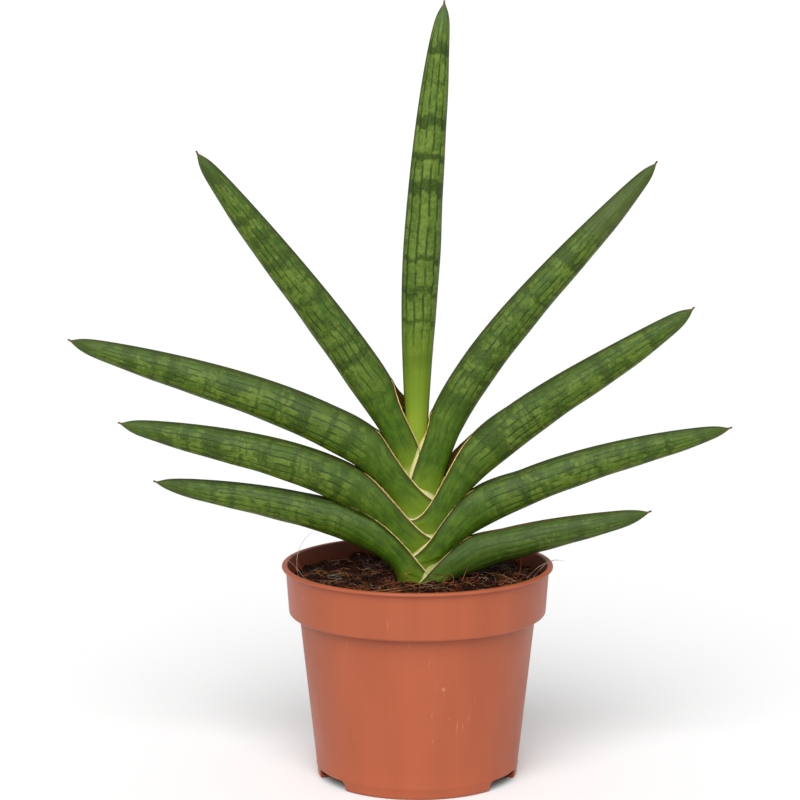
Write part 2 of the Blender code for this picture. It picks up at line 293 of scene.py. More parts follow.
# %% Margin lines: fork and low end in millimetres, and their directions in degrees from upright
EDGE_SHARE = 0.985  # the margin lies this far out on the rounded section
GROOVE_EDGE = 0.97  # margins of the closed blade, as a share of its half width
CLOSING_SHARE = 0.16  # above the fork the margins close over this share of the length
MARGIN_FIELDS = "fork fork_angle fork_reach low low_angle low_reach patch"
MARGINS = {  # patch: width of the white skin near the low end, and where it starts and ends, in mm
    "leaf_left_1": ((-10.4, 175.7), -13, 16, (1, 145.2), -6, 8, (0.2, 0, 6)),
    "leaf_right_1": ((5.4, 161.5), 4, 7, (-3, 133.4), 12, 8, (1.2, 0, 22)),
    "leaf_left_2": ((-16.4, 153.6), -34, 14, (6.8, 124.6), -53, 12, (1.7, 0, 9)),
    "leaf_right_2": ((22.6, 151.6), 44, 12, (-3.4, 116.2), 98, 9, (0.4, 0, 6)),
    "leaf_left_3": ((-21.7, 135.3), -52, 12, (7.6, 107.9), -88, 7, (1.8, 0, 6)),
    "leaf_right_3": ((23.2, 127.6), 62, 10, (-2.8, 99.6), 66, 9, (0.9, 2, 11)),
    "leaf_left_4": ((-35.6, 123.3), -78, 24, (5.4, 91.4), -46, 8, (0.4, 0, 6)),
    "leaf_right_4": ((22.4, 107.3), 61, 9, (1.2, 88.7), 45, 7, (2.0, 7, 13)),
}


def margin_line(leaf, shares):
    """Points (x, z) from the low end, share 0, to the fork, share 1, in metres."""
    line = dict(zip(MARGIN_FIELDS.split(), MARGINS[leaf["node"]]))
    low, fork = np.array(line["low"], float), np.array(line["fork"], float)
    first = low + toward(line["low_angle"]) * line["low_reach"]
    second = fork - toward(line["fork_angle"]) * line["fork_reach"]
    time = np.asarray(shares)[:, None]
    rest = 1 - time
    return (low * rest**3 + 3 * first * rest**2 * time + 3 * second * rest * time**2 + fork * time**3) * MM


def measure_margin(leaf):
    """Notes, for shares of the leaf, how far in the margin lies."""
    shares = np.linspace(0, 1, 900)
    centres, along = spine(leaf, shares)
    inward = inward_of(leaf, along)
    line = margin_line(leaf, np.linspace(0, 1, 160))
    away = line[:, None, :] - centres[None, :, :]
    nearest = np.argmin((away**2).sum(-1), axis=1)
    across = (away[np.arange(len(line)), nearest] * inward[nearest]).sum(-1)
    order = np.argsort(shares[nearest], kind="stable")
    leaf["margin_shares"], leaf["margin_across"] = shares[nearest][order], across[order]


def margin_edge(leaf, share):
    """How far in from the spine the margin lies."""
    closed = GROOVE_EDGE * half_width(leaf, share)
    if "margin_shares" not in leaf:
        return closed
    fork = leaf["margin_shares"][-1]
    noted = np.interp(share, leaf["margin_shares"], leaf["margin_across"])
    following = closed * leaf["margin_across"][-1] / (GROOVE_EDGE * half_width(leaf, fork))
    return np.where(share > fork, blend(following, closed, ease((share - fork) / CLOSING_SHARE)), noted)


for leaf in LEAVES:
    if leaf["node"] in MARGINS:
        measure_margin(leaf)
        fork = leaf["margin_shares"][-1]
        shape = leaf["margin_across"][-1] / half_width(leaf, fork)
        low_end = leaf["margin_shares"][0]
        print(f"{leaf['node']}: fork at {fork:.2f}, low end at {low_end:.2f}, edge at {shape:.2f}")

# %% [markdown]
# ## How the wraps lie on each other
#
# Where a leaf wraps the younger ones, its arms lie on them like cloth. Instead of cutting one solid
# out of another, the fan keeps two height maps, one for its front and one for its back: how far the
# leaves made so far stand out at each place. The next leaf is lifted to clear the map by a hair, and
# then it is added to the map itself.

# %% Two height maps of the fan
MAP_STEP = 0.4 * MM
MAP_X = np.arange(-70, 70.1, 0.4) * MM
MAP_Z = np.arange(74, 215, 0.4) * MM
NOTHING = -2 * MM  # the height where no leaf has been laid yet
WRAP_GAP = 0.08 * MM
ARM_EDGE = 0.22 * MM  # thickness of an arm at its margin
ARM_BODY = 0.5 * MM
lifts = {face: np.full((len(MAP_X), len(MAP_Z)), NOTHING) for face in ("front", "back")}


def read_map(height, points):
    """The map's height at (x, z) points, between its cells."""
    column = np.clip((points[..., 0] - MAP_X[0]) / MAP_STEP, 0, len(MAP_X) - 1.001)
    row = np.clip((points[..., 1] - MAP_Z[0]) / MAP_STEP, 0, len(MAP_Z) - 1.001)
    i, j = column.astype(int), row.astype(int)
    u, v = column - i, row - j
    low = height[i, j] * (1 - u) + height[i + 1, j] * u
    high = height[i, j + 1] * (1 - u) + height[i + 1, j + 1] * u
    outside = (points[..., 0] < MAP_X[0]) | (points[..., 0] > MAP_X[-1]) | (points[..., 1] > MAP_Z[-1])
    return np.where(outside, NOTHING, low * (1 - v) + high * v)


def smoothed(height):
    """Averages each cell with its four neighbours, where there is something there."""
    total, count = height.copy(), np.ones_like(height)
    for axis, step in ((0, 1), (0, -1), (1, 1), (1, -1)):
        near = np.roll(height, step, axis)
        level = np.abs(near - height) < 0.4 * MM
        total += np.where(level, near, 0)
        count += level
    return total / count


def soft_max(first, second, radius=0.5 * MM):
    return 0.5 * (first + second + np.sqrt((first - second) ** 2 + radius**2))


def lifted(leaf, share, depth, across, below, lean_sign):
    """The outer surface's height: the leaf's own, or just above what it wraps."""
    own = depth + lean_sign * leaf["lean"] * MM * share**2
    inside = margin_edge(leaf, share) - across
    arm = blend(ARM_EDGE, ARM_BODY, ease(inside / (5 * MM)))
    resting = below + WRAP_GAP + arm
    return np.where(below > NOTHING / 2, soft_max(own, resting), own)


def add_to_map(leaf, order):
    """Adds a leaf to both maps, by finding the nearest place on its spine for every cell."""
    shares = np.linspace(0, 1, 260)
    centres, along = spine(leaf, shares)
    inward = inward_of(leaf, along)
    columns, rows = np.meshgrid(MAP_X, MAP_Z, indexing="ij")
    cells = np.stack([columns, rows], axis=-1)
    nearest = np.empty(columns.shape, int)
    for i in range(len(MAP_X)):
        away = cells[i][:, None, :] - centres[None, :, :]
        nearest[i] = np.argmin((away**2).sum(-1), axis=1)
    away = cells - centres[nearest]
    across = (away * inward[nearest]).sum(-1)
    past_end = np.abs((away * along[nearest]).sum(-1)) > 1 * MM
    share = shares[nearest]
    covered = (across > -outer_width(leaf, share)) & (across < margin_edge(leaf, share)) & ~past_end
    depth = outer_depth(leaf, order, share, across)
    for face, lean_sign in (("front", -1), ("back", 1)):
        height = lifted(leaf, share, depth, across, lifts[face], lean_sign)
        lifts[face] = np.where(covered, np.maximum(height, lifts[face]), lifts[face])
        lifts[face] = smoothed(lifts[face])


# %% [markdown]
# ## One leaf as rings of points
#
# Every ring starts at the front margin, runs over the outer face to the back margin, and comes back
# along the inner face. Fine furrows run the whole length of the outer face: they are pressed into the
# mesh, and their place round the leaf is written into a UV map, so that the colours can follow them.

# %% Rings of one leaf
FURROWS, YOUNG_FURROWS = 16, 11  # round a grown leaf, and round the young innermost one
FURROW_DEPTH = 0.10 * MM
STATIONS = 132
ARM_POINTS = 25  # from a margin to the widest place
CHEEK_POINTS = 27  # from the widest place to the middle of the outer face
INNER_POINTS = 15


def across_steps():
    """Positions over the outer face, front margin to middle: first over the arm, then over the cheek."""
    arm = np.cos(np.linspace(0, math.pi / 2, ARM_POINTS, endpoint=False))
    cheek = -np.sin(np.linspace(0, math.pi / 2, CHEEK_POINTS))
    return arm, cheek


def outer_points(leaf, order, share):
    """One ring's outer face as (across, height) for the front and for the back."""
    centre, along = spine(leaf, [share])
    inward = inward_of(leaf, along)[0]
    arm, cheek = across_steps()
    across = np.concatenate([arm * margin_edge(leaf, share), cheek * outer_width(leaf, share)])
    depth = outer_depth(leaf, order, share, across)
    points = centre[0] + across[:, None] * inward
    return centre[0], inward, across, depth, points


def leaf_rings(leaf, order):
    """All ring points, and for each the place along and around the leaf."""
    steps = np.linspace(0, 1, STATIONS)
    shares = 0.55 * steps + 0.45 * (1 - np.cos(math.pi * steps)) / 2
    rings, alongs, arounds = [], [], []
    for share in shares:
        centre, inward, across, depth, flat = outer_points(leaf, order, share)
        front = lifted(leaf, share, depth, across, read_map(lifts["front"], flat), -1)
        back = lifted(leaf, share, depth, across, read_map(lifts["back"], flat), 1)
        outer = np.concatenate(
            [
                np.column_stack([flat[:, 0], -front, flat[:, 1]]),
                np.column_stack([flat[:, 0], back, flat[:, 1]])[-2::-1],
            ]
        )
        steps = np.linalg.norm(np.diff(outer, axis=0), axis=1)
        walked = np.concatenate([[0], np.cumsum(steps)])
        around = walked / walked[-1]
        outer = press_furrows(leaf, share, outer, around, centre)
        inner = inner_points(leaf, share, centre, inward, outer[0], outer[-1])
        rings.append(np.concatenate([outer, inner]))
        alongs.append(np.full(len(rings[-1]), (1 - share) * leaf["length"]))
        arounds.append(np.concatenate([around, 1 + np.linspace(0.02, 0.3, len(inner))]))
    return np.array(rings), np.array(alongs), np.array(arounds)


def press_furrows(leaf, share, outer, around, centre):
    """Moves the outer face in by the furrows' depth, which fades out at the root and the tip."""
    middle = np.array([centre[0], leaf["lean"] * MM * share**2, centre[1]])
    towards = middle - outer
    reach = np.linalg.norm(towards, axis=1)[:, None]
    furrows = YOUNG_FURROWS if leaf is LEAVES[0] else FURROWS
    shape = (0.5 + 0.5 * np.cos(2 * math.pi * around * furrows)) ** 3
    fade = ease((share - 0.12) / 0.25) * ease((1 - share) / 0.08)
    wander = 0.14 * MM * np.sin(31 * share + leaf["girth"]) * np.sin(2 * math.pi * around * 2 + 9 * share)
    inside = (around > 0.02) & (around < 0.98)
    push = (FURROW_DEPTH * shape + wander) * fade * inside
    return outer + towards / np.maximum(reach, 1e-6) * push[:, None]


def groove_bottom(leaf, share, centre, inward):
    """Where the inner face turns: behind the leaves it wraps, or a shallow groove in a free blade."""
    width = half_width(leaf, share)
    free = margin_edge(leaf, share) - GROOVE_DEPTH * width * ease((1 - share) / 0.3)
    trial = np.linspace(-width, width, 90)
    places = centre + trial[:, None] * inward
    filled = np.maximum(read_map(lifts["front"], places), read_map(lifts["back"], places)) > 0.3 * MM
    if filled.any():
        free = min(free, trial[np.argmax(filled)] - 2 * WRAP_GAP)
    return max(free, -width + 0.8 * MM)


def inner_points(leaf, share, centre, inward, front_margin, back_margin):
    """The inner face, from the back margin to the front one, resting on whatever the leaf wraps."""
    bottom = groove_bottom(leaf, share, centre, inward)
    top = margin_edge(leaf, share)
    points = []
    for level in np.linspace(-1, 1, INNER_POINTS + 2)[1:-1]:
        across = bottom + (top - bottom) * level**2
        place = centre + across * inward
        face, edge, sign = ("back", back_margin, 1) if level < 0 else ("front", front_margin, -1)
        resting = read_map(lifts[face], place) + WRAP_GAP
        middle = leaf["lean"] * MM * share**2
        own = (edge[1] - middle) * sign * abs(level)
        height = max(own + middle * sign, resting if resting > 0 else -1)
        height = min(height, edge[1] * sign) if level else height
        points.append((place[0], sign * height, place[1]))
    return np.array(points)


# %% [markdown]
# ## Laying the leaves
#
# The fan grows from the inside out, and so does this: each leaf is meshed against the height maps as
# they stand, and only then added to them, so the next one finds it there.

# %% Build the leaf meshes, innermost first
def leaf_mesh(leaf, order):
    rings, alongs, arounds = leaf_rings(leaf, order)
    mesh = tube_mesh(leaf["node"], rings)
    from_tip, around = alongs.reshape(-1), arounds.reshape(-1)
    hidden = leaf["margin_shares"][0] if "margin_shares" in leaf else 0.14
    above = (1 - hidden) * leaf["length"] - from_tip
    write_uv(mesh, "leaf_pattern", from_tip, around)  # metres from the tip, turns around
    write_uv(mesh, "leaf_place", above, np.full(len(above), order))  # metres above the low end, number
    shade_round(mesh, 55)
    return mesh


leaf_meshes = []
for order, leaf in enumerate(LEAVES):
    leaf["below"] = dict(lifts)
    leaf_meshes.append(leaf_mesh(leaf, order))
    add_to_map(leaf, order)
    leaf["above"] = dict(lifts)
print("leaves meshed:", len(leaf_meshes), "with", sum(len(mesh.vertices) for mesh in leaf_meshes), "points")

# %% [markdown]
# ## The leaves' pattern
#
# The leaf is dark green with paler windows. Thin dark lines run along it in the furrows, broken here
# and there. Ragged grey-green bands cross it about every centimetre, and weaker, closer ones cut the
# rows between two lines into cells. Both kinds of band are a repeating count along the leaf whose
# steps are shifted in every row and frayed with noise, so no two cells are alike.

# %% Node helpers
def new_group(name, inputs, outputs):
    group = bpy.data.node_groups.new(name, "ShaderNodeTree")
    for label, kind, value in inputs:
        socket = group.interface.new_socket(label, in_out="INPUT", socket_type=kind)
        socket.default_value = value
    for label, kind in outputs:
        group.interface.new_socket(label, in_out="OUTPUT", socket_type=kind)
    group.nodes.new("NodeGroupInput")
    group.nodes.new("NodeGroupOutput")
    return group


class Tree:
    """Short words for wiring nodes: every value may be a number, a colour or another node's output."""

    def __init__(self, tree):
        self.tree = tree

    def put(self, kind, **settings):
        node = self.tree.nodes.new(kind)
        for key, value in settings.items():
            setattr(node, key, value)
        return node

    def feed(self, socket, value):
        if isinstance(value, bpy.types.NodeSocket):
            self.tree.links.new(value, socket)
        else:
            socket.default_value = value

    def math(self, operation, first, second=0.0, third=0.0, clamp=False):
        node = self.put("ShaderNodeMath", operation=operation, use_clamp=clamp)
        for socket, value in zip(node.inputs, (first, second, third)):
            self.feed(socket, value)
        return node.outputs[0]

    def times(self, first, second):
        return self.math("MULTIPLY", first, second)

    def plus(self, first, second):
        return self.math("ADD", first, second)

    def minus(self, first, second):
        return self.math("SUBTRACT", first, second)

    def span(self, value, low, high, new_low=0.0, new_high=1.0, smooth=True):
        node = self.put("ShaderNodeMapRange", interpolation_type="SMOOTHSTEP" if smooth else "LINEAR")
        labels = ("Value", "From Min", "From Max", "To Min", "To Max")
        for label, given in zip(labels, (value, low, high, new_low, new_high)):
            self.feed(node.inputs[label], given)
        return node.outputs["Result"]

    def mix(self, share, first, second, way="MIX"):
        node = self.put("ShaderNodeMix", data_type="RGBA", blend_type=way)
        self.feed(node.inputs["Factor"], share)
        self.feed(node.inputs[6], first)
        self.feed(node.inputs[7], second)
        return node.outputs[2]

    def noise(self, vector, scale, detail=2.0, rough=0.5, flat=None, stretch=None):
        """3-D noise, or 1-D noise of a value given as flat."""
        node = self.put("ShaderNodeTexNoise", noise_dimensions="1D" if flat is not None else "3D")
        if flat is not None:
            self.feed(node.inputs["W"], flat)
        else:
            if stretch:
                spread = self.put("ShaderNodeVectorMath", operation="MULTIPLY")
                self.feed(spread.inputs[0], vector)
                self.feed(spread.inputs[1], stretch)
                vector = spread.outputs[0]
            self.feed(node.inputs["Vector"], vector)
        for label, value in (("Scale", scale), ("Detail", detail), ("Roughness", rough)):
            self.feed(node.inputs[label], value)
        return node.outputs["Fac"]

    def random(self, value):
        node = self.put("ShaderNodeTexWhiteNoise", noise_dimensions="1D")
        self.feed(node.inputs["W"], value)
        return node.outputs["Value"]

    def uv(self, name):
        return self.parts(self.put("ShaderNodeUVMap", uv_map=name).outputs[0])[:2]

    def parts(self, vector):
        node = self.put("ShaderNodeSeparateXYZ")
        self.feed(node.inputs[0], vector)
        return list(node.outputs)

    def place(self):
        """Where the shaded point lies on its object."""
        return self.put("ShaderNodeTexCoord").outputs["Object"]

    def vector(self, x, y, z=0.0):
        node = self.put("ShaderNodeCombineXYZ")
        for socket, value in zip(node.inputs, (x, y, z)):
            self.feed(socket, value)
        return node.outputs[0]

    def bump(self, height, distance, strength=1.0, normal=None):
        node = self.put("ShaderNodeBump")
        self.feed(node.inputs["Height"], height)
        node.inputs["Distance"].default_value = distance
        node.inputs["Strength"].default_value = strength
        if normal:
            self.feed(node.inputs["Normal"], normal)
        return node.outputs[0]


def new_material(name, roughness=0.5, specular=0.5):
    material = bpy.data.materials.new(name)
    material.use_nodes = True
    shader = material.node_tree.nodes["Principled BSDF"]
    shader.inputs["Roughness"].default_value = roughness
    shader.inputs["Specular IOR Level"].default_value = specular
    return material, Tree(material.node_tree), shader


# %% [markdown]
# ## One pattern for every leaf
#
# Young and grown leaves carry the same kinds of marks in different amounts. So the marks are made once,
# in a shader group that only puts out masks and values, and each material colours them its own way.

# %% The pattern group
BAND_STEP, YOUNG_BAND_STEP = 11.5 * MM, 15 * MM  # from one broad band to the next
CELL_STEP = 4.6 * MM


def crossing(tree, along, step, width):
    """Bands across the leaf: how deep inside one a place is, above 0, or how far off, below 0."""
    count = tree.math("DIVIDE", along, step)
    whole = tree.math("FLOOR", count)
    off = tree.math("ABSOLUTE", tree.minus(tree.minus(count, whole), 0.5))
    own = tree.random(tree.math("MULTIPLY_ADD", whole, 3.1, 0.7))
    return tree.minus(tree.times(own, width), off), whole


def build_pattern_group():
    outputs = ("Line", "Band", "Dash", "Cell", "Mottle", "Flecks", "Fine", "Dust", "Grain")
    outputs += ("From Rim", "From Tip", "Around", "Above", "Leaf")
    settings = {"Raggedness": 0.4, "Closeness": 1.0, "Rows": FURROWS, "Band Step": BAND_STEP}
    inputs = [(label, "NodeSocketFloat", value) for label, value in settings.items()]
    group = new_group("leaf_banding", inputs, [(label, "NodeSocketFloat") for label in outputs])
    tree = Tree(group)
    ragged, closeness, row_count, band_step = list(group.nodes["Group Input"].outputs)[:4]
    from_tip, around = tree.uv("leaf_pattern")
    above, number = tree.uv("leaf_place")

    seed = tree.times(number, 7.3)
    wander = tree.noise(None, 1.0, 2.0, flat=tree.math("MULTIPLY_ADD", from_tip, 60.0, seed))
    rows = tree.math("MULTIPLY_ADD", tree.minus(wander, 0.5), 0.035, around)
    rows = tree.times(rows, row_count)
    row = tree.math("FLOOR", tree.plus(rows, 0.5))
    off_line = tree.math("ABSOLUTE", tree.minus(rows, row))
    strip = tree.math("FLOOR", rows)
    gap_place = tree.vector(tree.times(from_tip, 110.0), tree.times(row, 1.7), seed)
    gaps = tree.noise(gap_place, 1.0, 3.0)
    broken = tree.span(tree.minus(gaps, tree.times(closeness, 0.06)), 0.34, 0.5, 0.1, 1.0)
    line = tree.times(tree.span(off_line, 0.06, 0.17, 1.0, 0.0), broken)

    fleck_place = tree.vector(tree.times(from_tip, 480.0), tree.times(rows, 2.1), seed)
    flecks = tree.noise(fleck_place, 1.0, 4.0, 0.68)
    clump_place = tree.vector(tree.times(from_tip, 190.0), tree.times(rows, 0.8), seed)
    clumps = tree.noise(clump_place, 1.0, 3.0, 0.6)
    dash_place = tree.vector(tree.times(from_tip, 340.0), tree.times(rows, 2.7), seed)
    dash = tree.span(tree.noise(dash_place, 1.0, 2.0), 0.53, 0.66)
    drift = tree.noise(None, 1.0, 1.0, flat=tree.math("MULTIPLY_ADD", from_tip, 55.0, seed))
    frayed = tree.math("MULTIPLY_ADD", tree.minus(drift, 0.5), 14 * MM, from_tip)
    frayed = tree.math("MULTIPLY_ADD", tree.minus(flecks, 0.5), 4 * MM, frayed)
    own = tree.random(tree.math("MULTIPLY_ADD", number, 31.0, strip))
    shifted = tree.math("MULTIPLY_ADD", number, 3.7 * MM, frayed)
    broad_along = tree.math("MULTIPLY_ADD", own, 2.2 * MM, shifted)
    broad, _ = crossing(tree, broad_along, band_step, 0.26)
    close_along = tree.math("MULTIPLY_ADD", own, 9 * MM, frayed)
    close, cell_number = crossing(tree, close_along, CELL_STEP, 0.24)
    fray = tree.plus(tree.minus(clumps, 0.5), tree.times(tree.minus(flecks, 0.5), 0.5))
    fray = tree.times(fray, ragged)
    broad = tree.span(tree.plus(broad, fray), -0.05, 0.05)
    where = tree.noise(None, 1.0, 1.0, flat=tree.math("MULTIPLY_ADD", from_tip, 38.0, seed))
    where = tree.span(where, 0.38, 0.6, 0.25, 0.85)
    where = tree.times(where, closeness)
    close = tree.times(tree.span(tree.plus(close, fray), -0.08, 0.06), where)
    band = tree.math("MAXIMUM", broad, close)
    cell_seed = tree.math("MULTIPLY_ADD", strip, 1.9, seed)
    cell = tree.random(tree.math("MULTIPLY_ADD", cell_number, 5.3, cell_seed))

    fine_place = tree.vector(tree.times(from_tip, 1500.0), tree.times(around, 130.0), number)
    fine = tree.noise(fine_place, 1.0, 2.0)
    specks = tree.put("ShaderNodeTexVoronoi", feature="F1")
    speck_place = tree.vector(tree.times(from_tip, 300.0), tree.times(around, 15.0), number)
    tree.feed(specks.inputs["Vector"], speck_place)
    specks.inputs["Scale"].default_value = 1.0
    near = tree.span(specks.outputs["Distance"], 0.05, 0.09, 1.0, 0.0)
    dust = tree.times(near, tree.span(clumps, 0.5, 0.56))
    grain_place = tree.vector(tree.times(from_tip, 220.0), tree.times(around, 120.0))
    grain = tree.noise(grain_place, 1.0, 3.0, 0.6)
    from_rim = tree.math("MINIMUM", around, tree.minus(1.0, around))

    results = (line, band, dash, cell, clumps, flecks, fine, dust, grain)
    results += (from_rim, from_tip, around, above, number)
    out = group.nodes["Group Output"]
    for label, result in zip(outputs, results):
        tree.feed(out.inputs[label], result)
    return group


leaf_banding = build_pattern_group()
sockets = [item for item in leaf_banding.interface.items_tree if item.in_out == "OUTPUT"]
print("pattern group outputs:", [item.name for item in sockets])

# %% [markdown]
# ## The leaves' finish
#
# The skin is waxy and soft-shining. Its up-facing side is painted greyer, partly for the wax bloom that is
# thickest on top and partly as a painted sheen of the light from above, and its down-facing side is painted
# a clearer yellow green, as painted shading for the light from below. The clasping part is plainer, and
# palest where the wraps shaded it. Both rims are dark, a red-brown thread follows those of the lowest leaf,
# and the tips end in a few dry millimetres.

# %% Leaf material
PLAIN_LEAF = 2  # the number of the leaf that carries a plain, banded-out stretch near its tip
DUSTY_FROM = 6  # leaves from this number on carry more dust specks
SCRAPE_LEAF, SCRAPE_X, SCRAPE_Z = 3, -6 * MM, 117 * MM  # a small grey scrape on one clasping face
SCRAPE_WIDE, SCRAPE_HIGH = 2.0 * MM, 0.7 * MM


def scrape_mask(tree, number):
    x, y, z = tree.parts(tree.place())
    across = tree.math("DIVIDE", tree.minus(x, SCRAPE_X), SCRAPE_WIDE)
    upward = tree.math("DIVIDE", tree.minus(z, SCRAPE_Z), SCRAPE_HIGH)
    off = tree.plus(tree.math("POWER", across, 2.0), tree.math("POWER", upward, 2.0))
    on_leaf = tree.math("COMPARE", number, float(SCRAPE_LEAF), 0.4)
    here = tree.times(on_leaf, tree.span(off, 0.3, 1.0, 0.8, 0.0))
    return tree.times(here, tree.math("LESS_THAN", y, 0.0))


def leaf_material(name, young):
    """young is 1 for the pale innermost leaf and 0 for the full-grown ones."""
    material, tree, shader = new_material(name, 0.5, 0.16)
    pattern = tree.put("ShaderNodeGroup")
    pattern.node_tree = leaf_banding
    pattern.inputs["Raggedness"].default_value = 0.4 if young else 0.85
    pattern.inputs["Closeness"].default_value = 0.25 if young else 0.9
    pattern.inputs["Rows"].default_value = YOUNG_FURROWS if young else FURROWS
    pattern.inputs["Band Step"].default_value = YOUNG_BAND_STEP if young else BAND_STEP
    line, band, dash, cell, clumps, flecks, fine, dust, grain = list(pattern.outputs)[:9]
    from_rim, from_tip, around, above, number = list(pattern.outputs)[9:14]
    upward = tree.parts(tree.put("ShaderNodeNewGeometry").outputs["Normal"])[2]

    uneven = 0.2 if young else 0.45
    tone = tree.math("MULTIPLY_ADD", cell, uneven, tree.times(flecks, 1 - uneven))
    light = srgb(104, 126, 48) if young else srgb(92, 112, 40)
    window = tree.mix(tree.span(tone, 0.25, 0.75), srgb(60, 86, 22), light)
    # Painted shading: where the face points down it is painted a clearer yellow green, for how the underside
    # is lit.
    window = tree.mix(tree.span(upward, 0.0, -0.8, 0.0, 0.75), window, srgb(88, 108, 4))
    ground = tree.mix(tree.span(flecks, 0.36, 0.64), srgb(28, 48, 0), srgb(46, 64, 6))
    colour = tree.mix(tree.times(band, 0.85 if young else 0.75), window, ground)
    colour = tree.mix(tree.times(dash, 0.3 if young else 0.6), colour, srgb(44, 66, 4))
    colour = tree.mix(tree.times(line, 0.8), colour, srgb(22, 42, 2))
    colour = tree.mix(tree.span(fine, 0.56, 0.68, 0.0, 0.5), colour, srgb(104, 126, 54))
    plain = tree.mix(tree.span(clumps, 0.3, 0.7), srgb(43, 70, 0), srgb(70, 101, 8))
    lowest, settled = (0.012, 0.05) if young else (0.012, 0.055)
    colour = tree.mix(tree.span(above, lowest, settled, 0.8, 0.0), colour, plain)
    is_plain = tree.math("COMPARE", number, float(PLAIN_LEAF), 0.4)
    even = tree.times(is_plain, tree.span(from_tip, 0.036, 0.048, 1.0, 0.0))
    colour = tree.mix(tree.times(even, 0.7), colour, srgb(74, 84, 40))
    glow = srgb(108, 130, 32) if young else srgb(102, 124, 22)
    start, reach = (0.004, 0.055) if young else (-0.008, 0.012)
    colour = tree.mix(tree.span(above, start, reach, 0.95, 0.0), colour, glow)
    if young:
        colour = tree.mix(tree.span(above, 0.0, 0.012, 0.25, 0.0), colour, srgb(142, 160, 40))
    else:
        colour = tree.mix(tree.span(above, -0.008, -0.002, 0.5, 0.0), colour, srgb(176, 184, 118))
    # Bloom and painted sheen: faces that point up are painted greyer, partly for the wax bloom and partly as
    # a painted sheen of the light from above.
    bloom_and_sheen = tree.times(tree.span(upward, -0.1, 0.9, 0.0, 0.45), tree.span(clumps, 0.35, 0.65, 0.5, 1.0))
    colour = tree.mix(bloom_and_sheen, colour, srgb(74, 92, 54))
    if young:
        colour = tree.mix(tree.span(from_tip, 0.004, 0.016, 0.6, 0.0), colour, srgb(78, 98, 58))
    else:
        colour = tree.mix(tree.span(from_tip, 0.006, 0.03, 0.6, 0.0), colour, srgb(60, 76, 30))

    colour = tree.mix(tree.span(from_rim, 0.015, 0.06, 0.65, 0.0), colour, srgb(40, 48, 12))
    last_leaf = tree.math("COMPARE", number, float(len(LEAVES) - 1), 0.4)
    colour = tree.mix(tree.times(last_leaf, 0.4), colour, srgb(56, 74, 30))
    thread = tree.span(last_leaf, 0.0, 1.0, 0.16, 0.9, smooth=False)
    thread = tree.times(tree.span(from_rim, 0.0, 0.014, 1.0, 0.0), thread)
    thread = tree.times(thread, tree.span(clumps, 0.38, 0.58, 0.3, 1.0))
    colour = tree.mix(thread, colour, srgb(122, 62, 30))
    keel = tree.span(tree.math("ABSOLUTE", tree.minus(around, 0.5)), 0.02, 0.07, 0.45, 0.0)
    colour = tree.mix(keel, colour, srgb(58, 62, 16))
    colour = tree.mix(tree.span(from_tip, 0.001, 0.0034, 0.95, 0.0), colour, srgb(108, 62, 44))
    inner_face = tree.span(around, 1.0, 1.02, smooth=False)
    lining = tree.mix(clumps, srgb(38, 54, 8), srgb(58, 76, 20))
    lining = tree.mix(tree.span(above, 0.03, 0.06), srgb(82, 70, 26), lining)
    colour = tree.mix(inner_face, colour, lining)
    dusty = tree.span(tree.math("GREATER_THAN", number, DUSTY_FROM - 0.5), 0.0, 1.0, 0.1, 0.6, smooth=False)
    colour = tree.mix(tree.times(dust, dusty), colour, srgb(150, 166, 120))
    if not young:
        colour = tree.mix(scrape_mask(tree, number), colour, srgb(84, 92, 84))
    tree.feed(shader.inputs["Base Color"], colour)
    tree.feed(shader.inputs["Roughness"], tree.span(flecks, 0.3, 0.7, 0.46, 0.60))
    height = tree.minus(tree.times(grain, 0.5), tree.times(line, 0.6))
    tree.feed(shader.inputs["Normal"], tree.bump(height, 0.12 * MM, 0.6))
    return material


young_leaf = leaf_material("young_leaf", 1)
grown_leaf = leaf_material("grown_leaf", 0)

for order, leaf in enumerate(LEAVES):
    piece = add_object(leaf["node"] + "_skin", leaf_meshes[order], grown_leaf if order else young_leaf)
    hand_over(piece, leaf["node"])
    tell(piece)
    low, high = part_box(leaf["node"])
    corners = [piece.matrix_world @ Vector(corner) for corner in piece.bound_box]
    off = [round((max(c[i] for c in corners) - high[i]) / MM, 1) for i in range(3)]
    print("  past the frame's solid at the high side, mm:", off)

# %% [markdown]
# ## The papery margins
#
# Each wrapped base ends in a thin, dry rim: a red-brown line and then a cream edge that lies on the
# leaf inside. It is a narrow ribbon of its own, laid over the edge of the arm and down onto the next
# leaf, a little wavy, and wider and whiter at its low end, where the wraps cross.

# %% Margin ribbons
SKIN = 0.07 * MM  # how far the ribbon stands off what it lies on
LEAF_SIDE, PAPER_SIDE = 0.18 * MM, 0.30 * MM
PATCH_FADE = 6 * MM
BACK_FLAPS = {"leaf_left_1": 4.0, "leaf_right_2": 2.2}  # brown flaps of the back rims, by their width in mm
FLAP_LENGTH = 13 * MM


def ribbon_path(leaf):
    """From the low end over the fork, and a little up the closing edge."""
    low_to_fork = margin_line(leaf, np.linspace(0, 1, 96))
    fork = leaf["margin_shares"][-1]
    beyond = np.linspace(fork + 0.003, fork + 0.013, 6)
    centres, along = spine(leaf, beyond)
    inward = inward_of(leaf, along)
    closing_edge = centres + inward * margin_edge(leaf, beyond)[:, None]
    return np.concatenate([low_to_fork, closing_edge]), len(low_to_fork)


